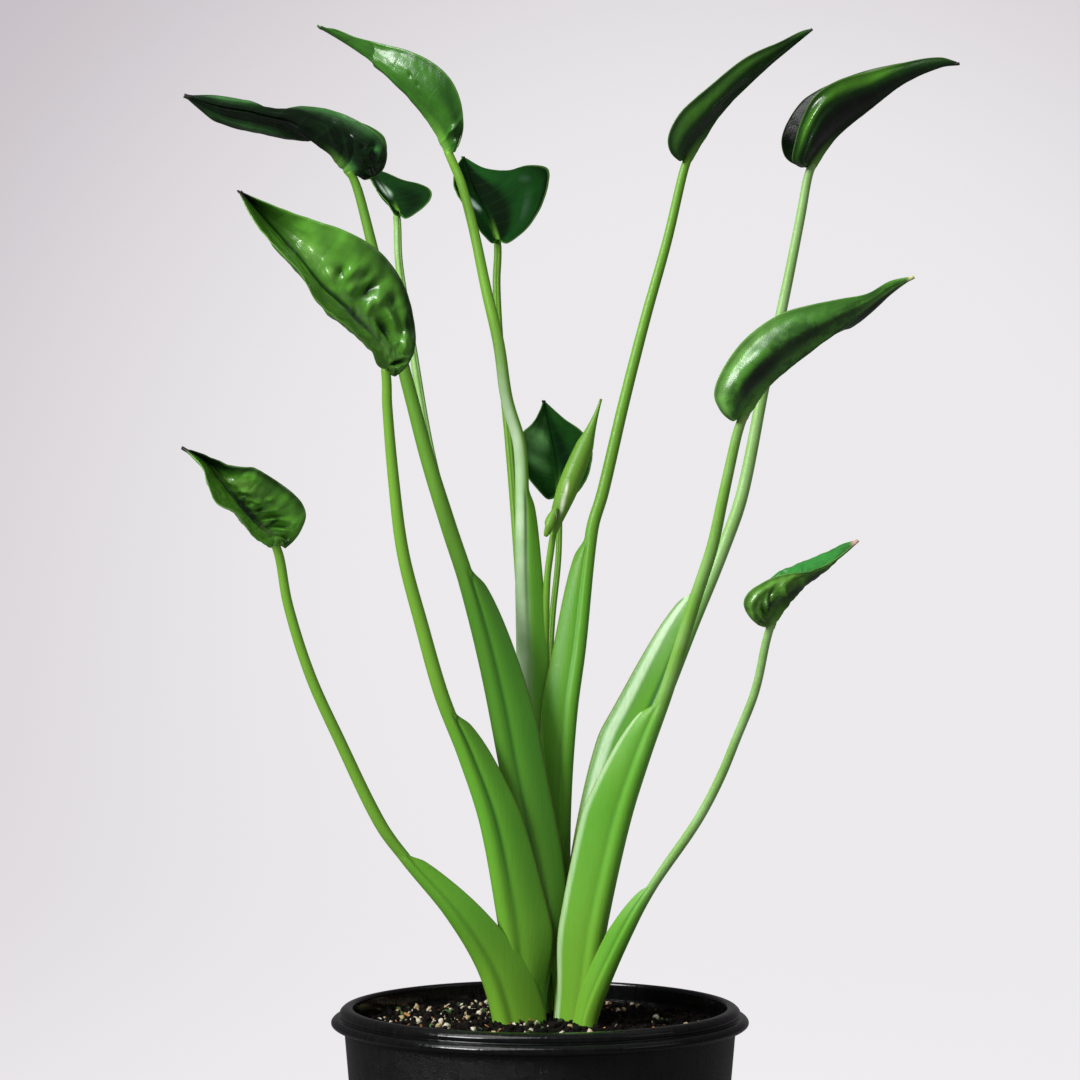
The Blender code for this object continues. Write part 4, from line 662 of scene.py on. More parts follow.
# Width and length of the painted shade along the midrib's crease
CREASE_SHADE_WIDTH = (1.1, 0.2)
CREASE_SHADE_LENGTH = (0.3, 0.6)
BLOTCH_GRAIN = (110.0, 6.0, 0.75)  # scale, detail and roughness of the noise
BLOTCH_EDGE = (0.46, 0.58)
BLOTCH_ACROSS = (0.95, 0.6)
DRY_START, DRY_END = 1.5, 0.4  # of the dry tip's length

# A stalk's colours, over its rise (-1 at the joint, 0 at the shoulder, 1 at the foot) and out on its
# wing, from 0 at the root to 1 at the edge
STEM_STREAKING = 0.1
STEM_PATCHES = 0.2
# Painted shade inside the sheath
SHEATH_INSIDE_SHADE = 0.8
SHEATH_EDGE = 0.45
FOOT_RANGE = (0.35, 1.0)
SHEATH_RANGE = (-0.12, 0.15)
# Painted shade in the groove and on the wings
GROOVE_SHADE_IN = (0.15, 0.28)
GROOVE_SHADE_OUT = (0.42, 0.31)
GROOVE_SHADE_RANGE = (0.95, 0.3)
WING_SHADE_RANGE = (0.32, 0.75)
WING_EDGE = (0.93, 0.99)
# A painted highlight band down the wings
HIGHLIGHT_BAND_SOFTNESS = 0.1
HIGHLIGHT_BAND_WIDTH = 0.3
HIGHLIGHT_BAND_OUTSIDE = (0.4, 0.1)
HIGHLIGHT_BAND_STREAKING = -0.15
BLOOM_RANGE = (0.3, -0.1)
BLOOM_CLOUDING = 0.15
# Wax and painted light along a stalk's back
WAX_AND_HIGHLIGHT_RANGE = (-0.48, -0.15)
WAX_AND_HIGHLIGHT_BACK = (0.45, 0.72)
WAX_AND_HIGHLIGHT_CLOUDING = (0.4, 0.6)
SPOT_GRAIN = (600.0, 4.0, 0.6)
SPOT_EDGE = (0.45, 0.6)
SPOT_RANGE = (0.05, -0.1)

# The pot's dust and scuffs, and the grains' tones
DUST_GRAIN = (900.0, 5.0, 0.7)
DUST_EDGE = (0.56, 0.75)
POT_DUST = 0.08
POT_SCUFFS = 0.35
TONE_RANGE = (0.15, 0.75)
RARE_TONE = (0.93, 0.97)
GRAIN_SPECKLES = 0.35
GRAIN_DARKEST = 0.45

# Specular levels
POT_SHINE = 0.4
GRAIN_SHINE = 0.12
STEM_SHINE = 0.3

# Where Blender's Mix node has its two colours and their mix
MIX_FIRST, MIX_SECOND, MIX_RESULT = 6, 7, 2


@dataclass(frozen=True)
class Grain:
    """How one kind of grain on the soil is shaped and strewn."""

    skin: str
    sizes: tuple  # the smallest and the largest, half across, in millimetres
    flatness: tuple  # the least and the greatest thickness, as shares of its length
    uneven: float  # how far its points lie in or out of a smooth grain
    roughness: float
    specks: float = GRAIN_SPECKS  # scale of its fine specks
    leftward: float = 0.0  # share of the grains that are moved to the left half


GRAINS = {
    "soil_crumbs": Grain(
        "soil_crumbs", sizes=(0.5, 1.7), flatness=(0.6, 1.0), uneven=0.16, roughness=0.8),
    "perlite_grains": Grain(
        "perlite", sizes=(0.4, 1.8), flatness=(0.45, 0.9), uneven=0.3, roughness=0.7,
        specks=1200.0, leftward=0.6),
    "bark_pieces": Grain(
        "bark_chips", sizes=(0.8, 2.6), flatness=(0.2, 0.35), uneven=0.14, roughness=0.65, leftward=0.3),
}

# Stage and camera, in metres
FLOOR_REACH = 0.96
BEND_REACH = 4.16
BEND_STEPS = 40
BEND_POWER = 3.0
WALL_HEIGHT = 6.08
# Middle and reach of the painted pool of light on the backdrop
BACKDROP_POOL_MIDDLE = (0.23, 0.0, 0.35)
BACKDROP_POOL_FALLOFF = (0.36, 1.4)
BACKDROP_ALBEDO = 0.1
BACKDROP_ROUGHNESS = 0.95
STAGE_SIDES = 96
PLANT_MIDDLE = (0.0, 0.0, 0.3)
KEY_PLACE = (-1.57, -1.38, 1.42)
KEY_SIZE = (0.9, 0.92)
TOP_PLACE = (-0.9, -0.7, 2.2)
TOP_SIZE = (1.6, 1.6)
SIDE_PLACE = (1.82, -0.765, 1.21)
SIDE_SIZE = (1.2, 0.96)
SKY_COLOUR = (1.0, 0.98, 1.0, 1.0)
SKY_STRENGTH = 0.2
CAMERA_PLACE = (0.0, -1.3, 0.319)
CAMERA_LENS = 112.55


def unit(vectors):
    return vectors / np.maximum(np.linalg.norm(vectors, axis=-1, keepdims=True), TINY)


def dot(first, second):
    return np.sum(first * second, axis=-1, keepdims=True)


def mix(first, second, share):
    return first + (second - first) * share


def smooth_step(value):
    value = np.clip(value, 0.0, 1.0)
    return value * value * (3.0 - 2.0 * value)


def lump(value, centre, reach):
    """A round hump of height 1 at the centre, gone at about twice the reach."""
    return np.exp(-(((value - centre) / reach) ** 2))


def curve_through(points):
    """A smooth curve through the points: a function of 0 to 1 along the chords."""
    points = np.array([tuple(point) for point in points], float)
    count = len(points)
    knots = np.concatenate(([0.0], np.cumsum(np.linalg.norm(np.diff(points, axis=0), axis=1))))
    before = np.maximum(np.arange(count) - 1, 0)
    after = np.minimum(np.arange(count) + 1, count - 1)
    slopes = (points[after] - points[before]) / (knots[after] - knots[before])[:, None]

    def position(share):
        place = np.clip(np.asarray(share, float), 0.0, 1.0) * knots[-1]
        index = np.clip(np.searchsorted(knots, place) - 1, 0, count - 2)
        span = (knots[index + 1] - knots[index])[..., None]
        step = (place - knots[index])[..., None] / span
        square, cube = step**2, step**3
        return (
            points[index] * (2 * cube - 3 * square + 1)
            + slopes[index] * (span * (cube - 2 * square + step))
            + points[index + 1] * (3 * square - 2 * cube)
            + slopes[index + 1] * (span * (cube - square))
        )

    return position


def tangents(position, share):
    """The directions in which a curve runs at one or more shares of it."""
    share = np.asarray(share, float)
    after, before = np.minimum(share + TANGENT_STEP, 1.0), np.maximum(share - TANGENT_STEP, 0.0)
    return unit(position(after) - position(before))


def share_at_height(position, height):
    """Where on a rising curve its height is reached."""
    low, high = 0.0, 1.0
    for _ in range(HALVINGS):
        middle = (low + high) / 2
        if position(middle)[2] < height:
            low = middle
        else:
            high = middle
    return (low + high) / 2


def placed(name, data):
    """A new object in the scene, of a mesh, a lamp or a camera."""
    made = bpy.data.objects.new(name, data)
    bpy.context.collection.objects.link(made)
    return made


def new_piece(name, points, faces, skin, masks=None):
    """A smooth-shaded piece from points in millimetres, riding on the plant's one body."""
    mesh = bpy.data.meshes.new(name)
    mesh.from_pydata((np.asarray(points, float) * MM).tolist(), [], faces)
    mesh.validate()
    mesh.shade_smooth()
    mesh.materials.append(skin)
    for mask, values in (masks or {}).items():
        layer = mesh.attributes.new(mask, "FLOAT", "POINT")
        layer.data.foreach_set("value", np.asarray(values, np.float32).ravel())
    piece = placed(name, mesh)
    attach(piece, BODY)
    return piece


def circle(radius, sides):
    """Evenly spaced (x, y) round the Z axis."""
    turns = math.tau * np.arange(sides) / sides
    return [(radius * math.cos(turn), radius * math.sin(turn)) for turn in turns]


def ring_faces(count, size, wrap=True, start=0):
    """Four-sided faces between rings of equal size, numbered from the start."""
    faces = []
    for ring in range(count - 1):
        for step in range(size if wrap else size - 1):
            after = (step + 1) % size
            low, high = start + ring * size, start + (ring + 1) * size
            faces.append((low + step, low + after, high + after, high + step))
    return faces


def fan_faces(middle, start, size):
    """Triangles that close a ring of points over a point in its middle."""
    return [(middle, start + (step + 1) % size, start + step) for step in range(size)]


def capped_rings(points, size):
    """Rings of points and their faces, with each end closed over a point added in its middle."""
    rings = len(points) // size
    faces = ring_faces(rings, size)
    ends = []
    for start in (0, (rings - 1) * size):
        faces += fan_faces(len(points) + len(ends), start, size)
        ends.append(np.mean(points[start:start + size], axis=0))
    return np.concatenate((points, ends)), faces


def turn_out(piece):
    """Makes all of a piece's faces look outward."""
    shell = bmesh.new()
    shell.from_mesh(piece.data)
    bmesh.ops.recalc_face_normals(shell, faces=shell.faces)
    shell.to_mesh(piece.data)
    shell.free()


def blade_start(number):
    """Where the blade's midrib sets off from the stalk's end."""
    joint = np.array(STALKS[number].path[-1], float)
    first = ROLLED_AXIS[1] if number == ROLLED_LEAF else BLADES[number].midrib[0]
    return unit(np.array(first, float) - joint)


def neck_direction(number):
    """The way that a stalk's last stretch points, between the stalk's and the blade's."""
    path = np.array(STALKS[number].path, float)
    return unit(blade_start(number) + unit(path[-1] - path[-2]))


def up_at_joint(blade, joint):
    """Which way is up, square to the midrib, where the blade meets its stalk."""
    midrib = np.array(blade.midrib[0], float)
    near, far = np.array(blade.near_margin, float), np.array(blade.far_margin, float)
    ahead = unit(midrib - joint)
    across = near[0] - far[0]
    up = np.cross(unit(across - ahead * dot(across, ahead)), ahead)
    return -up if float(dot(up, near[WIDEST] + far[WIDEST] - midrib * 2)[0]) < 0 else up


def beside_stalk(points, joint, direction, radius):
    """The points, moved out to the radius where they would lie inside the stalk's end."""
    offset = points - joint
    ahead = dot(offset, direction)
    side = offset - direction * ahead
    length = np.linalg.norm(side, axis=-1, keepdims=True)
    pushed = side / np.maximum(length, TINY) * np.maximum(radius - length, 0.0)
    return points + pushed * smooth_step((NECK_MARGIN - ahead) / NECK_MARGIN)


def blade_margins(blade, raised, neck, shares):
    """The near and the far margin at the shares, from beside the stalk to the tip."""
    margins = []
    for points in (blade.near_margin, blade.far_margin):
        start = raised + unit(np.array(points[0], float) - raised) * neck
        margins.append(curve_through((start, *points, blade.midrib[-1]))(shares))
    return margins


def bowed_half(centre, edge, ahead, ups, places):
    """Points by row and column of half a blade that sags between its midrib and its margin."""
    outward = unit(np.cross(edge - centre, ahead))
    outward = np.where(dot(outward, ups) > 0, -outward, outward)
    length = np.linalg.norm(edge - centre, axis=1, keepdims=True)
    bow = (centre + edge) / 2 + outward * (BLADE_BOW * length)
    place = places[None, :, None]
    rest = 1.0 - place
    return centre[:, None] * rest**2 + bow[:, None] * (2 * rest * place) + edge[:, None] * place**2


def blade_surface(number, shares, columns):
    """The blade's middle surface: its points by row and column, and each row's up direction.

    The columns run from the near margin at 1 through the midrib at 0 to the far margin at -1.
    """
    stalk, blade = STALKS[number], BLADES[number]
    joint = np.array(stalk.path[-1], float) + blade_start(number) * JOINT_GAP
    neck = stalk.joint_radius + NECK_MARGIN
    first_up = up_at_joint(blade, joint)
    midrib = curve_through((joint, *blade.midrib))
    along = shares**MIDRIB_CROWDING
    ahead = tangents(midrib, along)
    margins = blade_margins(blade, joint + first_up * LOBE_RISE, neck, shares)
    across = margins[0] - margins[1]
    across[-1] = across[-2]
    across = unit(across - ahead * dot(across, ahead))
    ups = np.cross(across, ahead)
    ups = ups * np.sign(dot(ups[0], first_up))
    centre = midrib(along) + ups * (LOBE_RISE * (1.0 - along) ** RIB_TAPER)[:, None]
    least = mix(START_SLACK * neck, TIP_HALF_WIDTH, np.minimum(shares / NECK_SHARE, 1.0))[:, None]
    halves = []
    for edge, hand in zip(margins, (1, -1)):
        wave = np.sin(math.tau * (RIPPLE_WAVES * shares + blade.phase + RIPPLE_SHIFT * hand))
        edge = edge + ups * (blade.ripple * wave * np.sin(math.pi * shares))[:, None]
        narrow = np.linalg.norm(edge - centre, axis=1, keepdims=True) < least
        edge = np.where(narrow, centre + across * (hand * least), edge)
        halves.append(bowed_half(centre, edge, ahead, ups, np.abs(columns[columns * hand >= 0])))
    surface = np.concatenate((halves[0], halves[1][:, 1:]), axis=1)
    return beside_stalk(surface, joint, neck_direction(number), neck), ups


def surface_normals(surface, ups):
    """The side of the surface that faces up, at each point."""
    normals = unit(np.cross(np.gradient(surface, axis=0), np.gradient(surface, axis=1)))
    middle = surface.shape[1] // 2
    if float(np.sum(normals[:, middle] * ups)) < 0:
        normals = -normals
    for _ in range(NORMAL_SMOOTHING):
        padded = np.pad(normals, ((1, 1), (1, 1), (0, 0)), mode="edge")
        normals = unit(
            padded[1:-1, 1:-1] * 2
            + padded[:-2, 1:-1] + padded[2:, 1:-1] + padded[1:-1, :-2] + padded[1:-1, 2:]
        )
    return normals


def vein_ridge(shares, columns):
    """1 on a side vein and 0 between two, over the blade's rows and columns."""
    place = shares[:, None] + VEIN_SWEEP * np.abs(columns[None, :]) ** VEIN_CURVE
    return (0.5 + 0.5 * np.cos(math.tau * VEIN_COUNT * place)) ** VEIN_SHARPNESS


def slanted_lump(along, across, place):
    """A hump over the blade's rows and columns, its crest slanting toward the tip as it runs out."""
    share, column, long, wide, slant = place
    crest = share + slant * (np.abs(across) - abs(column))
    return lump(along, crest, long) * lump(across, column, wide)


def blade_relief(number, shares, columns):
    """Heights in millimetres of the veins, puckers and listed bumps over the blade."""
    look = LOOKS[number]
    across = columns[None, :]
    along = shares[:, None]
    belly = smooth_step(along / RELIEF_RISE) * smooth_step((1.0 - along) / RELIEF_FALL)
    arch = np.sin(math.pi * np.clip(np.abs(across), 0.0, 1.0)) ** QUILT_FULLNESS
    height = look.quilt * ((1.0 - vein_ridge(shares, columns)) * arch) * belly
    for row, share in enumerate(shares):
        for column, place in enumerate(columns):
            spot = Vector((share * PUCKERS_ALONG, place * PUCKERS_ACROSS, number * PUCKERS_PER_LEAF))
            crumple = noise.noise(spot) + FINE_PUCKER * noise.noise(spot * FINE_PUCKER_SCALE)
            height[row, column] += look.pucker * crumple * belly[row, 0]
    for hand, amount in zip((1, -1), look.roll):
        outer = np.clip((across * hand - ROLL_START) / ROLL_REACH, 0.0, 1.0)
        height = height - amount * outer**2 * belly
    for *place, rise in look.bumps:
        height = height + rise * slanted_lump(along, across, place)
    return height * smooth_step(along / RELIEF_FOOT)


def blade_tone_and_painted_light(look, along, across):
    """How much lighter, up to 1, or darker, down to -1, each point is than the blade's own green: real
    patches, painted highlights and painted shade.
    """
    shade = np.zeros_like(along)
    for *place, amount in look.tones:
        shade = shade + amount * slanted_lump(along, across, (*place, 0.0))
    return np.clip(shade, -1.0, 1.0)


def grid_rim(rows, width):
    """The numbers of a grid's outer points, in order round it."""
    rim = list(range(width)) + [row * width + width - 1 for row in range(1, rows)]
    rim += [(rows - 1) * width + column for column in range(width - 2, -1, -1)]
    return rim + [row * width for row in range(rows - 2, 0, -1)]


def sheet_faces(rows, width, rim):
    """Faces of an upper and a lower grid, joined all round by points that follow the rim."""
    count = rows * width
    faces = ring_faces(rows, width, wrap=False)
    faces += [tuple(count + corner for corner in face[::-1]) for face in faces]
    for step, corner in enumerate(rim):
        after = (step + 1) % len(rim)
        here, there = 2 * count + step, 2 * count + after
        faces.append((rim[after], corner, here, there))
        faces.append((there, here, count + corner, count + rim[after]))
    return faces


def blade_skins(surface, normals, ups, apart, shares, columns, settings):
    """The points of a blade's grooved upper skin, and of its lower skin with the midrib's keel."""
    edge = smooth_step((np.abs(columns) - EDGE_START) / EDGE_REACH)[None, :, None]
    thick = mix(settings.thickness, settings.margin_thickness, edge) / MM / 2
    along = shares**MIDRIB_CROWDING
    rib_width = mix(RIB_WIDTH, TIP_RIB_WIDTH, along)[:, None]
    rib = (RIB_DEPTH * (1.0 - along) ** RIB_TAPER + TIP_RIB)[:, None] * np.exp(-((apart / rib_width) ** 2))
    groove = GROOVE_DEPTH * np.exp(-((apart / (GROOVE_SHARE * rib_width)) ** 2))
    upper = surface + normals * (thick - groove[..., None])
    lower = surface - normals * thick - ups[:, None] * rib[..., None]
    return upper, lower


def blade_solid(number, settings):
    """Points, faces and masks of one blade: an upper and a lower skin with a rounded rim."""
    half = np.linspace(0.0, 1.0, settings.columns + 1) ** COLUMN_CROWDING
    columns = np.concatenate((half[::-1], -half[1:]))
    shares = np.linspace(0.0, 1.0, settings.rows + 1)
    surface, ups = blade_surface(number, shares, columns)
    for *place, back in LOOKS[number].bends:
        surface[..., 1] += back * slanted_lump(shares[:, None], columns[None, :], place)
    normals = surface_normals(surface, ups)
    surface = surface + normals * blade_relief(number, shares, columns)[..., None]
    midrib = surface[:, settings.columns]
    apart = np.linalg.norm(surface - midrib[:, None], axis=2)
    upper, lower = blade_skins(surface, normals, ups, apart, shares, columns, settings)
    rows, width = surface.shape[:2]
    rim = grid_rim(rows, width)
    upper, lower = upper.reshape(-1, 3), lower.reshape(-1, 3)
    brim = (upper[rim] + lower[rim]) / 2
    inward = unit(midrib[np.array(rim) // width] - brim)
    brim = brim - inward * (settings.margin_thickness / MM * RIM_BULGE)
    along, across = np.repeat(shares, width), np.tile(columns, rows)
    apart = apart.ravel()
    masks = {
        "along": np.concatenate((along, along, along[rim])),
        "across": np.concatenate((across, across, across[rim])),
        "under": np.concatenate((np.zeros(len(upper)), np.ones(len(upper)), np.full(len(rim), 0.5))),
        "rib": np.concatenate((apart, apart, apart[rim])),
    }
    # Lighter and darker tones, partly painted highlights and painted shade
    masks["shade"] = blade_tone_and_painted_light(LOOKS[number], masks["along"], masks["across"])
    return np.concatenate((upper, lower, brim)), sheet_faces(rows, width, rim), masks


def stem_loop(radius):
    """A round stem's section, back first, as (toward the opening, to the near side)."""
    near = [(math.radians(degrees), share) for degrees, share in STEM_ANGLES]
    loop = [(-radius, 0.0)]
    loop += [(-radius * share * math.cos(turn), radius * share * math.sin(turn)) for turn, share in near]
    loop.append((radius * STEM_FRONT, 0.0))
    loop += [(along, -side) for along, side in reversed(loop[1:-1])]
    return loop


def sheath_loop(radius, spread, reach, channel):
    """A sheath's section: a thick back, a shallow channel and two thin wings, the far one shorter.

    Each point is (toward the opening, to the near side, how far out on a wing, how far inside).
    """
    wing = min(WING_THICKNESS, THIN_WING * spread)
    lip = 0.3 * radius

    def wrapped(out):
        return spread * (1.0 - WING_WRAP * out**WING_ROUNDNESS)

    half = [
        (-0.93 * radius, 0.38 * spread, 0, 0),
        (-0.72 * radius, 0.7 * spread, 0, 0),
        (-0.3 * radius, 0.93 * spread, 0, 0),
        (0.2 * radius, spread, 0, 0),
        (0.2 * radius + 0.09 * reach, wrapped(0.1) - 0.3 * channel * spread, 0.12, 0),
        (0.2 * radius + 0.18 * reach, wrapped(0.22) - channel * spread, 0.3, 0),
        (0.2 * radius + 0.28 * reach, wrapped(0.34) - 0.3 * channel * spread, 0.42, 0),
        (0.62 * reach, wrapped(0.62), 0.62, 0),
        (0.87 * reach, wrapped(0.87), 0.85, 0),
        (reach, wrapped(1.0), 1, 0),
        (reach, wrapped(1.0) - 0.8 * wing, 1, 0.5),
        (0.5 * reach, wrapped(0.5) - 1.25 * wing, 0.5, 1),
        (lip, spread - 1.7 * wing, 0, 1),
    ]
    loop = [(-radius, 0.0, 0, 0), *half, (0.5 * radius, 0.0, 0, 1)]
    for along, side, out, inside in reversed(half):
        if along > lip:
            along, side = along * FAR_WING_SHARE, min(abs(side), spread)
        loop.append((along, -side, out, inside))
    return loop


def wing_reach(stalk, depth):
    """The near wing's width: it grows fast below the shoulder and narrows in the crown."""
    first, second, last = REACH_DEPTHS
    if depth < first:
        return stalk.reach[0] * (depth / first) ** SHEATH_GROWTH
    if depth < second:
        return mix(stalk.reach[0], stalk.reach[1], (depth - first) / (second - first))
    return mix(stalk.reach[1], stalk.reach[2], smooth_step((depth - second) / (last - second)))


def stalk_stations(position, stalk):
    """(share of the path, depth) from the foot, at 1, past the shoulder, at 0, to the joint, at -1."""
    foot = share_at_height(position, SOIL_AT_WALL + SOIL_MOUND)
    shoulder = share_at_height(position, stalk.shoulder)
    stations = [(0.0, 1.0)]
    for step in range(SHEATH_RINGS + 1):
        depth = (1.0 - step / SHEATH_RINGS) ** STATION_CROWDING
        stations.append((mix(shoulder, foot, depth), depth))
    for step in range(1, STEM_RINGS + 1):
        rise = step / STEM_RINGS
        stations.append((mix(shoulder, 1.0, rise), -rise))
    return stations


def stalk_section(stalk, depth):
    """The section's points: a round stem over the shoulder that turns into the sheath under it.

    Each point is (toward the opening, to the near side, how far out on a wing, how far inside).
    """
    if depth > 0:
        radius = mix(stalk.stem_radius, stalk.foot_radius, depth)
        spread = mix(stalk.stem_radius, stalk.spread, depth**SPREAD_GROWTH)
        sheathed = float(smooth_step(depth / SHEATH_BLEND))
        channel = mix(*CHANNEL, depth**0.5)
        winged = sheath_loop(radius, spread, wing_reach(stalk, depth), channel)
    else:
        radius = mix(stalk.stem_radius, stalk.joint_radius, -depth)
        sheathed = 0.0
        winged = [(0, 0, 0, 0)] * LOOP_POINTS
    return [
        (mix(round_point[0], point[0], sheathed), mix(round_point[1], point[1], sheathed),
         point[2] * sheathed, point[3] * sheathed)
        for round_point, point in zip(stem_loop(radius), winged)
    ]


def stalk_axes(tangent, opening, near, depth):
    """A section's directions toward the opening and to the near side, and how far the slant draws it."""
    level = 1.0 - smooth_step(-depth / SHEATH_LEVEL)
    normal = unit(mix(tangent, np.array((0.0, 0.0, 1.0)), level))
    along = unit(opening - normal * dot(opening, normal))
    side = np.cross(normal, along)
    side = side if float(dot(side, near)[0]) > 0 else -side
    return along, side, 1.0 / float(dot(normal, tangent)[0])


def stalk_solid(number):
    """Points, faces and masks of one stalk, from its foot in the soil into the blade's midrib."""
    stalk, ahead = STALKS[number], blade_start(number)
    joint = np.array(stalk.path[-1], float)
    neck = joint - unit(neck_direction(number) + unit(joint - stalk.path[-2]) * NECK_EASE) * NECK_LENGTH
    position = curve_through((*stalk.path[:-1], neck, joint))
    opening = np.array((math.cos(math.radians(stalk.opens)), math.sin(math.radians(stalk.opens)), 0.0))
    near = np.array((opening[1], -opening[0], 0.0))
    near = near if near[1] <= 0 else -near
    points, masks = [], {"rise": [], "wing": [], "inside": [], "back": []}
    for share, depth in stalk_stations(position, stalk):
        centre = position(share)
        if share == 0.0:
            centre[2] = FOOT_HEIGHT
        tangent = ahead if share == 1.0 else tangents(position, share)
        along, side, stretch = stalk_axes(tangent, opening, near, depth)
        for step, (forward, sideways, out, inside) in enumerate(stalk_section(stalk, depth)):
            factor = stretch if forward < 0 else 1.0
            points.append(centre + along * (forward * factor) + side * sideways)
            for mask, value in zip(masks.values(), (depth, out, inside, abs(2.0 * step / LOOP_POINTS - 1.0))):
                mask.append(value)
    last = np.array(points[-LOOP_POINTS:])
    end = joint + ahead * STALK_OVERLAP
    for grow, reached in STALK_END:
        points.extend(end + (last - joint) * grow - ahead * (STALK_OVERLAP * (1.0 - reached)))
        for mask in masks.values():
            mask.extend(mask[-LOOP_POINTS:])
    for mask in masks.values():
        mask += [mask[0], mask[-LOOP_POINTS]]
    points, faces = capped_rings(points, LOOP_POINTS)
    return points, faces, masks


def rolled_radius(share):
    """The spindle's radius: thickest at its belly, drawn out to a point."""
    rising = np.sin(math.pi / 2 * share / ROLLED_BELLY)
    falling = np.cos(math.pi / 2 * (share - ROLLED_BELLY) / (1.0 - ROLLED_BELLY))
    swell = np.where(share < ROLLED_BELLY, rising, falling)
    radius = mix(ROLLED_FOOT_RADIUS, ROLLED_RADIUS, swell)
    point = np.maximum(share - ROLLED_POINT, 0.0) / (1.0 - ROLLED_POINT)
    return mix(radius, ROLLED_TIP_RADIUS, point)


def rolled_rings(axis, radii, twist, step_size):
    """Rings round an axis whose radius steps in once a turn, where the rolled edge ends."""
    shares = np.linspace(0.0, 1.0, len(radii))
    centres = axis(shares)
    ahead = tangents(axis, shares)
    side = unit(np.cross(ahead, (0.0, 1.0, 0.0)))
    front = np.cross(side, ahead)
    turn = np.arange(ROLLED_SIDES) / ROLLED_SIDES
    angle = math.tau * (turn[None, :] + twist * shares[:, None])
    size = radii[:, None] * (1.0 - step_size * smooth_step(turn / STEP_END))[None, :]
    points = centres[:, None] + side[:, None] * (size * np.cos(angle))[..., None]
    points = points + front[:, None] * (size * np.sin(angle))[..., None]
    masks = {
        "along": np.repeat(shares, ROLLED_SIDES),
        "across": np.tile(1.0 - 2.0 * turn, len(shares)),
        "under": np.zeros(angle.size),
        "rib": np.full(angle.size, NO_RIB),
    }
    for name, values in masks.items():
        masks[name] = np.concatenate((values, values[-1:], values[-1:]))
    points, faces = capped_rings(points.reshape(-1, 3), ROLLED_SIDES)
    return points, faces, masks


def rolled_axis(share):
    """The spindle's axis, a smooth curve with the four handles of the rolled leaf."""
    handles = np.array(ROLLED_AXIS, float)
    share = np.asarray(share, float)[..., None]
    rest = 1.0 - share
    return (
        handles[0] * rest**3 + handles[1] * (3 * rest**2 * share)
        + handles[2] * (3 * rest * share**2) + handles[3] * share**3
    )


def rolled_solid():
    """The rolled leaf: a wound spindle and the small curled lobe at its foot, as one mesh."""
    shares = np.linspace(0.0, 1.0, ROLLED_RINGS + 1)
    spindle, faces, masks = rolled_rings(rolled_axis, rolled_radius(shares), ROLLED_TWIST, ROLLED_STEP)
    swell = np.sin(math.pi * (CURL_SPAN[0] + CURL_SPAN[1] * shares)) ** CURL_FULLNESS
    lobe, lobe_faces, lobe_masks = rolled_rings(
        curve_through(CURL_AXIS), CURL_RADIUS * swell, CURL_TWIST, CURL_STEP
    )
    faces += [tuple(corner + len(spindle) for corner in face) for face in lobe_faces]
    masks = {name: np.concatenate((values, lobe_masks[name])) for name, values in masks.items()}
    # The tones here are a painted highlight
    masks["shade"] = blade_tone_and_painted_light(YOUNG_LOOK, masks["along"], masks["across"])
    return np.concatenate((spindle, lobe)), faces, masks


class Wiring:
    """A node tree, with short calls for the nodes that the finishes use."""

    def __init__(self, tree):
        self.tree = tree

    def put(self, socket, value):
        """Links an output to the socket, or sets the socket's own value."""
        if isinstance(value, bpy.types.NodeSocket):
            self.tree.links.new(value, socket)
        elif socket.type == "RGBA":
            socket.default_value = (*tuple(value)[:3], 1.0)
        else:
            socket.default_value = value

    def node(self, kind, *values, **options):
        made = self.tree.nodes.new("ShaderNode" + kind)
        for name, value in options.items():
            setattr(made, name, value)
        for socket, value in zip(made.inputs, values):
            self.put(socket, value)
        return made

    def mask(self, name):
        return self.node("Attribute", attribute_name=name).outputs["Fac"]

    def place(self):
        return self.node("TexCoord").outputs["Object"]

    def maths(self, operation, *values):
        return self.node("Math", *values, operation=operation).outputs[0]

    def times(self, first, second):
        return self.maths("MULTIPLY", first, second)

    def scaled(self, value, factor, offset):
        """The value times the factor, plus the offset."""
        return self.maths("MULTIPLY_ADD", value, factor, offset)

    def between(self, value, low, high):
        """0 below low, 1 above high and smooth between them; low may be the higher of the two."""
        return self.node("MapRange", value, low, high, interpolation_type="SMOOTHSTEP").outputs[0]

    def blend(self, share, first, second):
        made = self.node("Mix", share, data_type="RGBA")
        self.put(made.inputs[MIX_FIRST], first)
        self.put(made.inputs[MIX_SECOND], second)
        return made.outputs[MIX_RESULT]

    def tint(self, colour, other, share, *factors):
        """The colour, blended toward the other by the share times the factors."""
        for factor in factors:
            share = self.times(share, factor)
        return self.blend(share, colour, other)

    def vectors(self, operation, *values):
        return self.node("VectorMath", *values, operation=operation).outputs

    def grain(self, vector, scale, detail, roughness=0.5):
        made = self.node("TexNoise", vector)
        self.put(made.inputs["Scale"], scale)
        made.inputs["Detail"].default_value = detail
        made.inputs["Roughness"].default_value = roughness
        return made.outputs["Fac"]

    def effect(self, name, *values):
        """The outputs of a shared effect, which is built where it is first used."""
        group = bpy.data.node_groups.get(name) or EFFECTS[name]()
        return self.node("Group", *values, node_tree=group).outputs

    def bump(self, height, distance, strength):
        made = self.node("Bump")
        made.inputs["Distance"].default_value = distance
        made.inputs["Strength"].default_value = strength
        self.put(made.inputs["Height"], height)
        return made.outputs["Normal"]


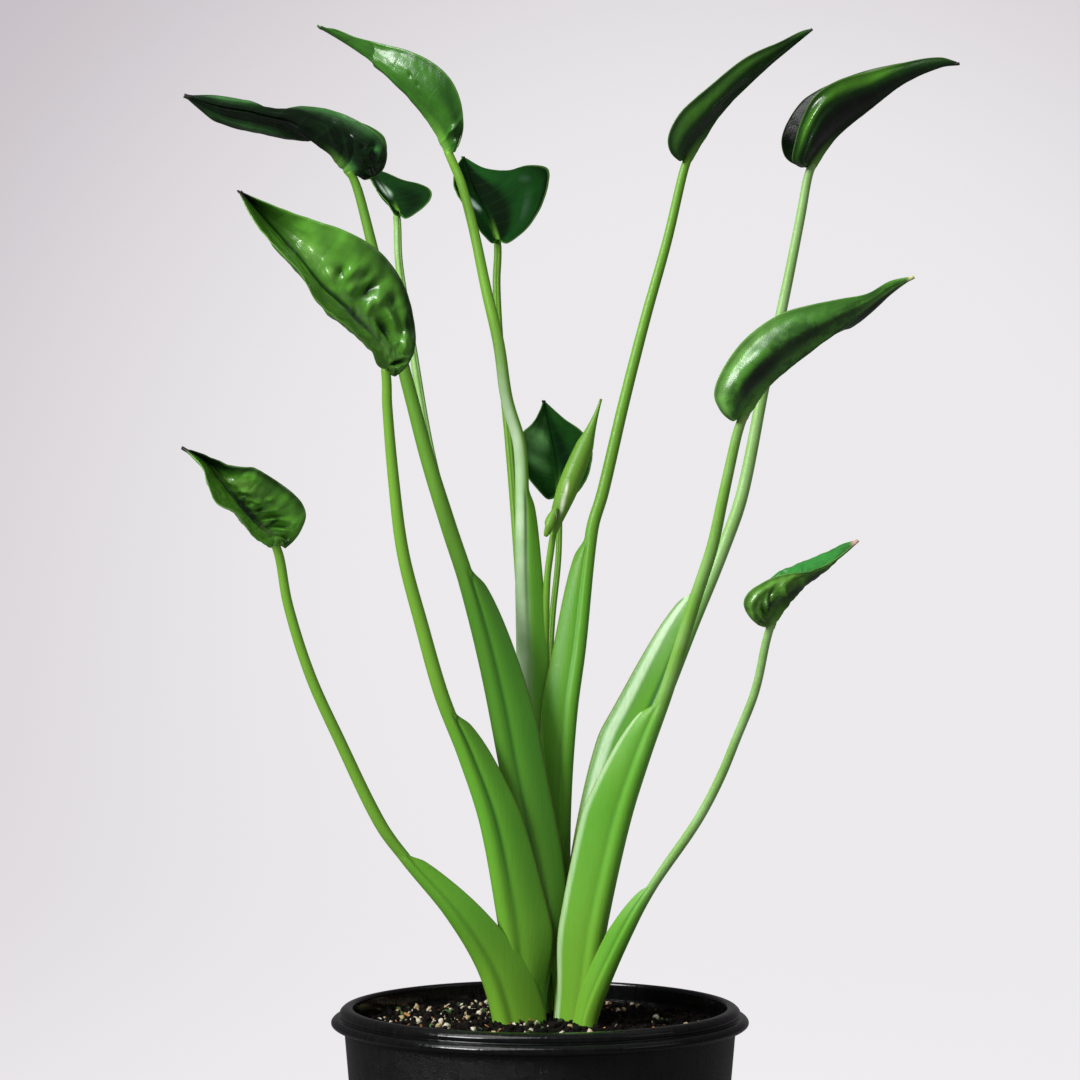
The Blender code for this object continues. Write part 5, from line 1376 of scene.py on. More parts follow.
def new_effect(name, inputs, outputs):
    """An empty node group with named number, colour and vector sockets, and its two ends."""
    group = bpy.data.node_groups.new(name, "ShaderNodeTree")
    for label, kind, value in inputs:
        socket = group.interface.new_socket(label, in_out="INPUT", socket_type="NodeSocket" + kind)
        if value is not None:
            socket.default_value = value
    for label, kind in outputs:
        group.interface.new_socket(label, in_out="OUTPUT", socket_type="NodeSocket" + kind)
    wiring = Wiring(group)
    start = group.nodes.new("NodeGroupInput")
    end = group.nodes.new("NodeGroupOutput")
    return group, wiring, start.outputs, end.inputs


def vein_effect():
    """Masks of the side veins, the midrib's pale band, the painted shade of its crease and the margin's line.
    """
    group, wiring, given, out = new_effect(
        "leaf_veins",
        (("Along", "Float", 0.0), ("Across", "Float", 0.0), ("Rib Distance", "Float", 0.0)),
        (("Side Veins", "Float"), ("Midrib", "Float"), ("Crease Shade", "Float"), ("Margin", "Float")),
    )
    along, across, rib = given[0], given[1], given[2]
    distance = wiring.maths("ABSOLUTE", across)
    swept = wiring.times(wiring.maths("POWER", distance, VEIN_CURVE), VEIN_SWEEP)
    turns = wiring.times(wiring.maths("ADD", along, swept), VEIN_COUNT * math.tau)
    wave = wiring.scaled(wiring.maths("COSINE", turns), 0.5, 0.5)
    veins = wiring.maths("POWER", wave, VEIN_LINE_SHARPNESS)
    wiring.put(out["Side Veins"], wiring.times(veins, wiring.between(distance, *VEIN_FADE)))
    for label, width, span in (
        ("Midrib", MIDRIB_WIDTH, MIDRIB_LENGTH), ("Crease Shade", CREASE_SHADE_WIDTH, CREASE_SHADE_LENGTH),
    ):
        wiring.put(out[label], wiring.times(wiring.between(rib, *width), wiring.between(along, *span)))
    wiring.put(out["Margin"], wiring.between(distance, *MARGIN_LINE))
    return group


def mottle_effect():
    """Soft cloudy patches with finer specks over them, about 0.5 on the whole."""
    group, wiring, given, out = new_effect(
        "soft_mottle",
        (("Vector", "Vector", None), ("Patch Scale", "Float", 60.0), ("Speck Scale", "Float", 700.0)),
        (("Patches", "Float"), ("Specks", "Float")),
    )
    for label, scale, detail in (("Patches", given[1], PATCH_DETAIL), ("Specks", given[2], SPECK_DETAIL)):
        wiring.put(out[label], wiring.between(wiring.grain(given[0], scale, detail), *NOISE_RANGE))
    return group


def streak_effect():
    """Fine lines that run up and down, for stems, sheaths and moulded plastic."""
    group, wiring, given, out = new_effect(
        "upright_streaks",
        (("Vector", "Vector", None), ("Fineness", "Float", 900.0)),
        (("Streaks", "Float"),),
    )
    drawn_out = wiring.vectors("MULTIPLY", given[0], STREAK_STRETCH)[0]
    lines = wiring.grain(drawn_out, given[1], STREAK_DETAIL)
    wiring.put(out["Streaks"], wiring.between(lines, *NOISE_RANGE))
    return group


EFFECTS = {"leaf_veins": vein_effect, "soft_mottle": mottle_effect, "upright_streaks": streak_effect}


def new_skin(name):
    """A material with its own Principled shader, and the wiring to finish it."""
    skin = bpy.data.materials.new(name)
    skin.use_nodes = True
    return skin, Wiring(skin.node_tree), skin.node_tree.nodes["Principled BSDF"].inputs


def leaf_skin(name, look, colours):
    """Glossy leaf: mottled green, paler veins and midrib, a thin pale margin, a dry tip, and painted
    highlights and painted shade.
    """
    skin, wiring, surface = new_skin(name)
    along, across, under, shade = (wiring.mask(mask) for mask in ("along", "across", "under", "shade"))
    veins, midrib, crease_shade, margin = wiring.effect("leaf_veins", along, across, wiring.mask("rib"))
    place = wiring.place()
    patches, specks = wiring.effect("soft_mottle", place, *LEAF_MOTTLE)
    colour = wiring.blend(under, look.upper, look.under)
    # Painted shade and painted highlights, with real lighter and darker patches, from the blade's tones
    colour = wiring.tint(colour, look.dark_and_shade, wiring.between(shade, 0.0, -1.0))
    colour = wiring.tint(colour, look.light, wiring.between(shade, 0.0, 1.0))
    colour = wiring.tint(colour, look.dark_and_shade, patches, LEAF_PATCHES)
    if look.blotch:
        blotches = wiring.between(wiring.grain(place, *BLOTCH_GRAIN), *BLOTCH_EDGE)
        middle = wiring.between(wiring.maths("ABSOLUTE", across), *BLOTCH_ACROSS)
        colour = wiring.tint(colour, look.dark_and_shade, blotches, middle, look.blotch)
    # The crease line is painted shade along the midrib's fold
    for mask, strength, line in (
        (veins, colours.vein_strength, colours.vein), (midrib, LEAF_MIDRIB, colours.midrib),
        (crease_shade, LEAF_CREASE_SHADE, look.dark_and_shade), (margin, LEAF_MARGIN, colours.margin),
    ):
        colour = wiring.tint(colour, line, mask, strength)
    dry = wiring.between(along, 1.0 - DRY_START * look.dry_tip, 1.0 - DRY_END * look.dry_tip)
    wiring.put(surface["Base Color"], wiring.blend(dry, colour, look.tip))
    rough = wiring.scaled(patches, LEAF_ROUGHENING, look.roughness)
    wiring.put(surface["Roughness"], wiring.scaled(dry, DRY_ROUGHENING, rough))
    height = wiring.scaled(veins, VEIN_HEIGHT, wiring.times(specks, SPECK_HEIGHT))
    wiring.put(surface["Normal"], wiring.bump(height, *LEAF_BUMP))
    surface["Specular IOR Level"].default_value = look.shine
    return skin


def stem_greens(wiring, finish, colours, masks):
    """The stem's and the sheath's greens, with painted shade in the groove, on the wings and inside."""
    rise, wing = masks.rise, masks.wing
    sheath = wiring.blend(wiring.between(rise, *FOOT_RANGE), colours.sheath, colours.foot)
    colour = wiring.blend(wiring.between(rise, *SHEATH_RANGE), colours.petiole, sheath)
    colour = wiring.tint(colour, colours.streak, masks.streaks, STEM_STREAKING)
    colour = wiring.tint(colour, colours.foot, masks.patches, STEM_PATCHES)
    groove = wiring.times(wiring.between(wing, *GROOVE_SHADE_IN), wiring.between(wing, *GROOVE_SHADE_OUT))
    # Painted shade in the groove, on the wings and inside the sheath, and a plain darkening of the whole
    # stalk
    for shares in (
        (finish.dark,),
        (wiring.between(wing, *WING_SHADE_RANGE), finish.wing),
        (groove, wiring.between(rise, *GROOVE_SHADE_RANGE), finish.groove),
        (masks.inside, SHEATH_INSIDE_SHADE),
    ):
        colour = wiring.tint(colour, colours.channel, *shares)
    return colour


def stem_pales(wiring, finish, colours, masks, colour):
    """The colour with the painted highlight band, the brownish margin, the waxy bloom, the wax and painted
    light along the back and the pale mottling.
    """
    rise, wing = masks.rise, masks.wing
    # A painted highlight down the wing's outer part
    if finish.highlight_band:
        start, end = finish.highlight_band_start, finish.highlight_band_start + HIGHLIGHT_BAND_WIDTH
        inner_fade = wiring.between(wing, start, start + HIGHLIGHT_BAND_SOFTNESS)
        outer_fade = wiring.between(wing, end, end - HIGHLIGHT_BAND_SOFTNESS)
        outside = wiring.between(masks.inside, *HIGHLIGHT_BAND_OUTSIDE)
        strength = wiring.scaled(masks.streaks, HIGHLIGHT_BAND_STREAKING, finish.highlight_band)
        colour = wiring.tint(colour, colours.wax_and_highlight, inner_fade, outer_fade, outside, strength)
    colour = wiring.tint(colour, colours.margin, wiring.between(wing, *WING_EDGE), SHEATH_EDGE)
    if finish.bloom:
        bloom = wiring.scaled(masks.patches, BLOOM_CLOUDING, finish.bloom)
        colour = wiring.tint(colour, colours.wax_and_highlight, bloom, wiring.between(rise, *BLOOM_RANGE))
    # Wax along the back, which also stands in as painted light on that side
    if finish.wax_and_highlight:
        back = wiring.between(wiring.mask("back"), *WAX_AND_HIGHLIGHT_BACK)
        cloudy = wiring.scaled(masks.patches, *WAX_AND_HIGHLIGHT_CLOUDING)
        stretch = wiring.between(rise, *WAX_AND_HIGHLIGHT_RANGE)
        colour = wiring.tint(colour, colours.wax_and_highlight, back, stretch, cloudy, finish.wax_and_highlight)
    if finish.mottling:
        spots = wiring.between(wiring.grain(masks.place, *SPOT_GRAIN), *SPOT_EDGE)
        stretch = wiring.between(rise, *SPOT_RANGE)
        colour = wiring.tint(colour, colours.wax_and_highlight, spots, stretch, finish.mottling)
    return colour


def stem_skin(finish, colours):
    """Green stem: fine streaks, painted shade in the groove and on the wing, a painted highlight band, a
    brownish margin and a waxy bloom.
    """
    skin, wiring, surface = new_skin(finish.name)
    place = wiring.place()
    patches, specks = wiring.effect("soft_mottle", place, *STEM_MOTTLE)
    streaks = wiring.effect("upright_streaks", place, STEM_STREAKS)[0]
    masks = SimpleNamespace(
        rise=wiring.mask("rise"), wing=wiring.mask("wing"), inside=wiring.mask("inside"),
        place=place, patches=patches, streaks=streaks,
    )
    colour = stem_greens(wiring, finish, colours, masks)
    wiring.put(surface["Base Color"], stem_pales(wiring, finish, colours, masks, colour))
    wiring.put(surface["Roughness"], wiring.scaled(specks, STEM_ROUGHENING, colours.roughness))
    height = wiring.scaled(specks, STEM_SPECK_HEIGHT, streaks)
    wiring.put(surface["Normal"], wiring.bump(height, *STEM_BUMP))
    surface["Specular IOR Level"].default_value = STEM_SHINE
    return skin


def pot_skin(colours):
    """Black moulded plastic: faint flow lines, fine pimples, scuffs and a little dust."""
    skin, wiring, surface = new_skin("black_pot")
    place = wiring.place()
    streaks = wiring.effect("upright_streaks", place, POT_STREAKS)[0]
    patches, specks = wiring.effect("soft_mottle", place, *POT_MOTTLE)
    dust = wiring.between(wiring.grain(place, *DUST_GRAIN), *DUST_EDGE)
    colour = wiring.tint(colours.plastic, colours.scuff, streaks, POT_SCUFFS)
    wiring.put(surface["Base Color"], wiring.tint(colour, colours.dust, dust, POT_DUST))
    height = wiring.node("SeparateXYZ", place).outputs["Z"]
    wall = wiring.between(height, BEAD_HEIGHT * MM, WALL_TOP * MM)
    rough = wiring.scaled(wall, WALL_ROUGHENING, RIM_ROUGHNESS)
    wiring.put(surface["Roughness"], wiring.scaled(patches, POT_ROUGHENING, rough))
    pebbles = wiring.scaled(streaks, STREAK_HEIGHT, wiring.times(specks, wall))
    wiring.put(surface["Normal"], wiring.bump(pebbles, *POT_BUMP))
    surface["Specular IOR Level"].default_value = POT_SHINE
    return skin


def grain_skin(name, first, second, rare, roughness, speck_scale):
    """Rough soil grains whose colour varies from grain to grain by their tone."""
    skin, wiring, surface = new_skin(name)
    tone = wiring.mask("tone")
    patches, specks = wiring.effect("soft_mottle", wiring.place(), GRAIN_PATCHES, speck_scale)
    colour = wiring.blend(wiring.between(tone, *TONE_RANGE), first, second)
    colour = wiring.tint(colour, rare, wiring.between(tone, *RARE_TONE))
    darkest = [value * GRAIN_DARKEST for value in first]
    wiring.put(surface["Base Color"], wiring.tint(colour, darkest, specks, GRAIN_SPECKLES))
    wiring.put(surface["Roughness"], wiring.scaled(patches, GRAIN_ROUGHENING, roughness))
    wiring.put(surface["Normal"], wiring.bump(specks, *GRAIN_BUMP))
    surface["Specular IOR Level"].default_value = GRAIN_SHINE
    return skin


def backdrop_skin(settings):
    """Pale paper that glows to the camera at one strength, in a painted pool of light that darkens away from
    the plant, and lights the plant only softly.
    """
    skin, wiring, surface = new_skin("backdrop_paper")
    place = wiring.vectors("SUBTRACT", wiring.place(), BACKDROP_POOL_MIDDLE)[0]
    flat = wiring.vectors("MULTIPLY", place, (1.0, 0.0, 1.0))[0]
    edge = wiring.between(wiring.vectors("LENGTH", flat)["Value"], *BACKDROP_POOL_FALLOFF)
    rays = wiring.node("LightPath").outputs
    seen = wiring.times(rays["Is Camera Ray"], settings.glow)
    shed = wiring.scaled(rays["Is Diffuse Ray"], settings.fill, settings.spill)
    paper = [value * BACKDROP_ALBEDO for value in settings.backdrop]
    wiring.put(surface["Base Color"], wiring.blend(rays["Is Camera Ray"], (0.0, 0.0, 0.0), paper))
    surface["Roughness"].default_value = BACKDROP_ROUGHNESS
    surface["Specular IOR Level"].default_value = 0.0
    # Painted pool of light: the glow's colour fades from the backdrop colour round the plant to the edge
    # colour
    wiring.put(surface["Emission Color"], wiring.blend(edge, settings.backdrop, settings.edge))
    wiring.put(surface["Emission Strength"], wiring.maths("ADD", seen, shed))
    return skin


def rounded_profile(profile, radius):
    """The outline with each inner corner replaced by a short arc."""
    corners = [Vector(point) for point in profile]
    smooth = [corners[0]]
    for before, corner, after in zip(corners, corners[1:], corners[2:]):
        back, ahead = before - corner, after - corner
        first = corner + back.normalized() * min(radius, CORNER_SHARE * back.length)
        last = corner + ahead.normalized() * min(radius, CORNER_SHARE * ahead.length)
        for step in range(CORNER_STEPS + 1):
            share = step / CORNER_STEPS
            smooth.append(first.lerp(corner, share).lerp(corner.lerp(last, share), share))
    smooth.append(corners[-1])
    return smooth


def turned_solid(profile, sides):
    """Points and faces of an outline of (radius, height) turned about Z, both ends on the axis."""
    points = [(x, y, height) for radius, height in profile[1:-1] for x, y in circle(radius, sides)]
    faces = ring_faces(len(profile) - 2, sides)
    last_ring = len(points) - sides
    for start, (_, height) in ((0, profile[0]), (last_ring, profile[-1])):
        faces += fan_faces(len(points), start, sides)
        points.append((0.0, 0.0, height))
    return points, faces


def pot_profile():
    """The pot from the middle of its base, up outside, over the lip and down inside."""
    return (
        (0.0, 0.0),
        (BASE_RADIUS - BASE_EDGE, 0.0),
        (BASE_RADIUS, BASE_EDGE),
        (WALL_TOP_RADIUS, WALL_TOP),
        (BEAD_RADIUS - 1.4, WALL_TOP + 0.5),
        (BEAD_RADIUS, BEAD_HEIGHT - 0.8),
        (BEAD_RADIUS, BEAD_HEIGHT + 0.5),
        (BEAD_RADIUS - 1.3, BEAD_TOP - 0.4),
        (LIP_RADIUS - 0.3, BEAD_TOP),
        (LIP_RADIUS, BEAD_TOP + 0.8),
        (LIP_RADIUS, POT_HEIGHT - 1.8),
        (LIP_RADIUS - 1.5, POT_HEIGHT - 0.4),
        (LIP_RADIUS - 3.4, POT_HEIGHT),
        (MOUTH_RADIUS + 0.5, POT_HEIGHT - 0.2),
        (MOUTH_RADIUS, POT_HEIGHT - 0.9),
        (INNER_BEND_RADIUS, INNER_BEND),
        (FLOOR_RADIUS, FLOOR_THICKNESS),
        (0.0, FLOOR_THICKNESS),
    )


def drain_cutter():
    """The rods that cut the floor's drain holes, as one object."""
    shell = bmesh.new()
    for hole in range(DRAIN_HOLES):
        turn = math.tau * hole / DRAIN_HOLES
        made = bmesh.ops.create_cone(
            shell, cap_ends=True, segments=DRAIN_SIDES, depth=DRAIN_DEPTH * MM,
            radius1=DRAIN_RADIUS * MM, radius2=DRAIN_RADIUS * MM,
        )
        place = Vector((math.cos(turn), math.sin(turn), 0.0)) * (DRAIN_CIRCLE * MM)
        bmesh.ops.translate(shell, verts=made["verts"], vec=place)
    mesh = bpy.data.meshes.new("drain_cutter")
    shell.to_mesh(mesh)
    shell.free()
    return placed("drain_cutter", mesh)


def drill_drain_holes(pot):
    """Cuts the floor's drain holes and leaves the pot a plain mesh."""
    cutter = drain_cutter()
    cut = pot.modifiers.new("drain_holes", "BOOLEAN")
    cut.operation = "DIFFERENCE"
    cut.object = cutter
    bpy.context.view_layer.update()
    drilled = bpy.data.meshes.new_from_object(pot.evaluated_get(bpy.context.evaluated_depsgraph_get()))
    pot.modifiers.remove(cut)
    pot.data = drilled
    bpy.data.objects.remove(cutter)


def lumpiness(x, y, lumps):
    """Smooth noise over the soil, for lumps of one size."""
    size, level = lumps
    return noise.noise(Vector((x / size, y / size, level)))


def soil_height(x, y, fine=0.0):
    """A low mound round the plant, with lumps raised from it and finer crumbs on them."""
    fall = float(smooth_step((math.hypot(x, y) - MOUND_INNER) / (MOUND_OUTER - MOUND_INNER)))
    lumps = lumpiness(x, y, CHIP_LUMPS) + CRUMB_RELIEF * lumpiness(x, y, CRUMB_LUMPS)
    height = SOIL_AT_WALL + SOIL_MOUND * (1.0 - fall) + SOIL_RELIEF * lumps
    return height + fine * lumpiness(x, y, GRIT_LUMPS)


def soil_solid():
    """The soil's top as a lumpy disc that meets the pot's wall, with a skirt down inside it."""
    points = [(0.0, 0.0, soil_height(0.0, 0.0, SOIL_GRIT))]
    for ring in range(1, SOIL_RINGS + 1):
        radius = SOIL_EDGE_RADIUS * (ring / SOIL_RINGS) ** SOIL_RING_CROWDING
        points += [(x, y, soil_height(x, y, SOIL_GRIT)) for x, y in circle(radius, SOIL_SIDES)]
    points += [(x, y, INNER_BEND) for x, y in circle(SOIL_EDGE_RADIUS, SOIL_SIDES)]
    faces = [(0, 1 + side, 1 + (side + 1) % SOIL_SIDES) for side in range(SOIL_SIDES)]
    faces += ring_faces(SOIL_RINGS + 1, SOIL_SIDES, start=1)
    base = 1 + SOIL_RINGS * SOIL_SIDES
    faces.append(tuple(base + side for side in reversed(range(SOIL_SIDES))))
    return points, faces


def grain_ball():
    """The points and faces of a small ball that each grain is a bent copy of."""
    shell = bmesh.new()
    bmesh.ops.create_icosphere(shell, subdivisions=GRAIN_DETAIL, radius=1.0)
    points = np.array([tuple(vertex.co) for vertex in shell.verts])
    faces = np.array([[vertex.index for vertex in face.verts] for face in shell.faces])
    shell.free()
    return points, faces


def scattered_grains(count, kind, dice):
    """Grains of random size and turn, bedded in the soil: points, faces and each point's tone."""
    ball, ball_faces = grain_ball()
    points, faces, tones = [], [], []
    for index in range(count):
        radius = GRAIN_REACH * math.sqrt(dice.random())
        turn = math.tau * dice.random()
        x, y = radius * math.cos(turn), radius * math.sin(turn)
        x = -abs(x) if dice.random() < kind.leftward else x
        size = mix(*kind.sizes, dice.random() ** 2)
        axes = size * np.array((1.0, dice.uniform(*GRAIN_WIDTHS), dice.uniform(*kind.flatness)))
        uneven = 1.0 + kind.uneven * dice.uniform(-1.0, 1.0, len(ball))[:, None]
        tumble, _ = np.linalg.qr(dice.normal(size=(3, 3)))
        lies_down = kind.flatness[1] < FLAT_GRAIN
        turned = mix(np.eye(3), tumble, GRAIN_LEAN) if lies_down else tumble
        place = (x, y, soil_height(x, y) + size * GRAIN_SINK)
        points.append((ball * uneven * axes) @ turned + place)
        faces.append(ball_faces + index * len(ball))
        tones.append(np.full(len(ball), dice.random()))
    faces = [tuple(int(corner) for corner in face) for face in np.concatenate(faces)]
    return np.concatenate(points), faces, np.concatenate(tones)


def backdrop_sheet():
    """Points and faces of a round floor that bends up all round into a wall."""
    points = [(0.0, 0.0, 0.0)]
    for step in range(BEND_STEPS + 1):
        rise = step / BEND_STEPS
        radius, height = FLOOR_REACH + BEND_REACH * rise, WALL_HEIGHT * rise**BEND_POWER
        points += [(x, y, height) for x, y in circle(radius, STAGE_SIDES)]
    faces = [(0, 1 + side, 1 + (side + 1) % STAGE_SIDES) for side in range(STAGE_SIDES)]
    faces += [face[::-1] for face in ring_faces(BEND_STEPS + 1, STAGE_SIDES, start=1)]
    return points, faces


def add_backdrop(settings):
    """The floor and the wall, which aren't part of the plant."""
    points, faces = backdrop_sheet()
    mesh = bpy.data.meshes.new("backdrop")
    mesh.from_pydata(points, [], faces)
    mesh.shade_smooth()
    mesh.materials.append(backdrop_skin(settings))
    placed("backdrop", mesh)


def add_area_light(name, place, size, power):
    """A soft lamp aimed at the middle of the plant."""
    lamp = bpy.data.lights.new(name, "AREA")
    lamp.shape = "RECTANGLE"
    lamp.size, lamp.size_y = size
    lamp.energy = power
    light = placed(name, lamp)
    light.location = place
    light.rotation_euler = (Vector(PLANT_MIDDLE) - Vector(place)).to_track_quat("-Z", "Y").to_euler()


def add_sky():
    """A faint light from all round."""
    world = bpy.data.worlds.new("studio")
    world.use_nodes = True
    background = world.node_tree.nodes["Background"].inputs
    background["Color"].default_value = SKY_COLOUR
    background["Strength"].default_value = SKY_STRENGTH
    bpy.context.scene.world = world


def add_camera():
    """A level camera in front of the plant."""
    lens = bpy.data.cameras.new("camera")
    lens.lens = CAMERA_LENS
    camera = placed("camera", lens)
    camera.location = CAMERA_PLACE
    camera.rotation_euler = (math.pi / 2, 0.0, 0.0)
    bpy.context.scene.camera = camera


length_prop = partial(bpy.props.FloatProperty, unit="LENGTH")
power_prop = partial(bpy.props.FloatProperty, unit="POWER")
share_prop = partial(bpy.props.FloatProperty, min=0.0, max=1.0, subtype="FACTOR")
colour_prop = partial(bpy.props.FloatVectorProperty, subtype="COLOR")


class PotSettings(bpy.types.PropertyGroup):
    """Sizes and colours of the pot."""

    height: length_prop(
        name="Height", description="Height of the pot's lip above its base", default=POT_BOX[1].z)
    sides: bpy.props.IntProperty(name="Sides", description="Faces round the pot", default=160)
    rounding: length_prop(
        name="Rounding", description="How far each corner of the rim is rounded", default=0.0009)
    plastic: colour_prop(name="Plastic", description="Colour of the plastic", default=(0.002, 0.002, 0.0022))
    scuff: colour_prop(
        name="Scuffs", description="Colour where the plastic is rubbed", default=(0.009, 0.0105, 0.0105))
    dust: colour_prop(name="Dust", description="Colour of the dust on the pot", default=(0.09, 0.09, 0.085))


class SoilSettings(bpy.types.PropertyGroup):
    """How many grains the soil shows, and their colours."""

    crumbs: bpy.props.IntProperty(name="Crumbs", description="Dark crumbs on the soil", default=1900)
    perlite: bpy.props.IntProperty(name="Perlite", description="White grains on the soil", default=330)
    chips: bpy.props.IntProperty(name="Chips", description="Bark chips on the soil", default=150)
    peat: colour_prop(name="Peat", description="Colour of the damp peat", default=(0.0025, 0.002, 0.0018))
    crumb: colour_prop(name="Crumb", description="Colour of the drier crumbs", default=(0.009, 0.006, 0.0045))
    moss: colour_prop(name="Moss", description="Colour of the green bits", default=(0.08, 0.16, 0.05))
    white: colour_prop(name="White", description="Colour of the whitest perlite", default=(0.62, 0.58, 0.46))
    cream: colour_prop(name="Cream", description="Colour of stained perlite", default=(0.42, 0.33, 0.18))
    bark: colour_prop(name="Bark", description="Colour of dark bark", default=(0.04, 0.018, 0.01))
    orange: colour_prop(name="Orange bark", description="Colour of fresh bark", default=(0.55, 0.22, 0.07))


class StemSettings(bpy.types.PropertyGroup):
    """Colours of the stalks."""

    petiole: colour_prop(name="Petiole", description="Colour of the round stem", default=(0.15, 0.35, 0.03))
    sheath: colour_prop(name="Sheath", description="Colour of the sheath", default=(0.11, 0.35, 0.024))
    foot: colour_prop(name="Foot", description="Colour at the soil", default=(0.16, 0.37, 0.028))
    streak: colour_prop(name="Streak", description="Colour of the fine lines", default=(0.045, 0.21, 0.016))
    # Painted shade colour for the groove, the wings and the sheath's inside, also used to darken whole stalks
    channel: colour_prop(name="Channel", description="Colour inside the sheath", default=(0.02, 0.12, 0.012))
    margin: colour_prop(name="Margin", description="Colour of the sheath's edge", default=(0.2, 0.2, 0.05))
    # Colour of the wax bloom, also used for the painted highlight band and the painted light along a back
    wax_and_highlight: colour_prop(name="Wax", description="Colour of the waxy bloom", default=(0.5, 0.7, 0.42))
    roughness: share_prop(name="Roughness", description="Roughness of the stalks", default=0.34)


class LeafSettings(bpy.types.PropertyGroup):
    """Sizes and shared colours of the blades."""

    rows: bpy.props.IntProperty(name="Rows", description="Faces along a blade", default=172)
    columns: bpy.props.IntProperty(name="Columns", description="Faces across half a blade", default=30)
    thickness: length_prop(name="Thickness", description="Thickness of a blade", default=0.0008)
    margin_thickness: length_prop(
        name="Margin thickness", description="Thickness of a blade's edge", default=0.0005)
    vein_strength: share_prop(
        name="Vein strength", description="How much paler the side veins are", default=0.035)
    vein: colour_prop(name="Vein", description="Colour of the side veins", default=(0.06, 0.2, 0.035))
    midrib: colour_prop(name="Midrib", description="Colour of the midrib", default=(0.16, 0.4, 0.05))
    margin: colour_prop(name="Margin", description="Colour of a blade's edge", default=(0.14, 0.3, 0.06))


class StageSettings(bpy.types.PropertyGroup):
    """The backdrop and the lamps."""

    backdrop: colour_prop(
        name="Backdrop", description="Colour of the floor and the wall", default=(0.83, 0.815, 0.83))
    # The edge colour gives a painted falloff of light away from the plant
    edge: colour_prop(
        name="Edge", description="Colour of the backdrop far from the plant", default=(0.52, 0.47, 0.51))
    glow: share_prop(
        name="Glow", description="Brightness of the backdrop itself to the camera", default=0.8)
    spill: share_prop(
        name="Spill", description="Light that the backdrop sheds on the plant", default=0.15)
    fill: share_prop(
        name="Fill", description="Light that the backdrop sheds on matt surfaces only", default=0.32)
    key: power_prop(name="Key lamp", description="Power of the lamp at the upper left", default=69.0)
    top: power_prop(name="Top lamp", description="Power of the lamp overhead", default=28.0)
    side: power_prop(name="Side lamp", description="Power of the lamp at the right", default=1.8)


class ALOCASIA_OT_pot(bpy.types.Operator):
    """Adds the black pot with its rounded bead, lip and drain holes"""

    bl_idname = "alocasia.add_pot"
    bl_label = "Pot"

    def execute(self, context):
        settings = context.scene.alocasia_pot
        profile = rounded_profile(pot_profile(), settings.rounding / MM)
        points, faces = turned_solid(profile, settings.sides)
        points = np.array(points) * (1.0, 1.0, settings.height / MM / POT_HEIGHT)
        pot = new_piece("black_pot", points, faces, pot_skin(settings))
        turn_out(pot)
        drill_drain_holes(pot)
        pot.data.set_sharp_from_angle(angle=math.radians(SHARP_DEGREES))
        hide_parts("pot")
        return {"FINISHED"}


class ALOCASIA_OT_soil(bpy.types.Operator):
    """Adds the soil's lumpy top inside the pot"""

    bl_idname = "alocasia.add_soil"
    bl_label = "Soil"

    def execute(self, context):
        settings = context.scene.alocasia_soil
        tints = (settings.peat, settings.crumb, settings.peat)
        skin = grain_skin("damp_soil", *tints, SOIL_ROUGHNESS, GRAIN_SPECKS)
        points, faces = soil_solid()
        tone = [0.5 + 0.5 * noise.noise(Vector(point) * SOIL_TONE_SCALE) for point in points]
        soil = new_piece("soil_bed", points, faces, skin, {"tone": tone})
        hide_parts("soil")
        return {"FINISHED"}


class ALOCASIA_OT_grains(bpy.types.Operator):
    """Scatters crumbs, perlite and bark chips over the soil"""

    bl_idname = "alocasia.add_grains"
    bl_label = "Soil grains"

    def execute(self, context):
        settings = context.scene.alocasia_soil
        dice = np.random.default_rng(GRAIN_SEED)
        for name, count, *tints in (
            ("soil_crumbs", settings.crumbs, settings.peat, settings.crumb, settings.moss),
            ("perlite_grains", settings.perlite, settings.cream, settings.white, settings.white),
            ("bark_pieces", settings.chips, settings.bark, settings.orange, settings.cream),
        ):
            kind = GRAINS[name]
            skin = grain_skin(kind.skin, *tints, kind.roughness, kind.specks)
            points, faces, tone = scattered_grains(count, kind, dice)
            new_piece(name, points, faces, skin, {"tone": tone})
        return {"FINISHED"}


class ALOCASIA_OT_stalks(bpy.types.Operator):
    """Adds the twelve stalks with their sheaths"""

    bl_idname = "alocasia.add_stalks"
    bl_label = "Stalks"

    def execute(self, context):
        settings = context.scene.alocasia_stem
        finishes = {number: finish for finish in FINISHES for number in finish.stalks}
        skins = {finish.name: stem_skin(finish, settings) for finish in FINISHES}
        for number in STALKS:
            finish = finishes[number]
            points, faces, masks = stalk_solid(number)
            skin = skins[finish.name]
            stalk = new_piece(f"stalk_fine_{number:02d}", points, faces, skin, masks)
            turn_out(stalk)
            rounder = stalk.modifiers.new("rounder", "SUBSURF")
            rounder.levels = rounder.render_levels = 1
            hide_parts(f"stalk_{number:02d}")
        return {"FINISHED"}


class ALOCASIA_OT_blades(bpy.types.Operator):
    """Adds the eleven open blades with veins, puckers and rims"""

    bl_idname = "alocasia.add_blades"
    bl_label = "Blades"

    def execute(self, context):
        settings = context.scene.alocasia_leaf
        for number in BLADES:
            skin = leaf_skin(f"leaf_{number:02d}", LOOKS[number], settings)
            points, faces, masks = blade_solid(number, settings)
            blade = new_piece(f"blade_fine_{number:02d}", points, faces, skin, masks)
            turn_out(blade)
            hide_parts(f"blade_{number:02d}")
        return {"FINISHED"}


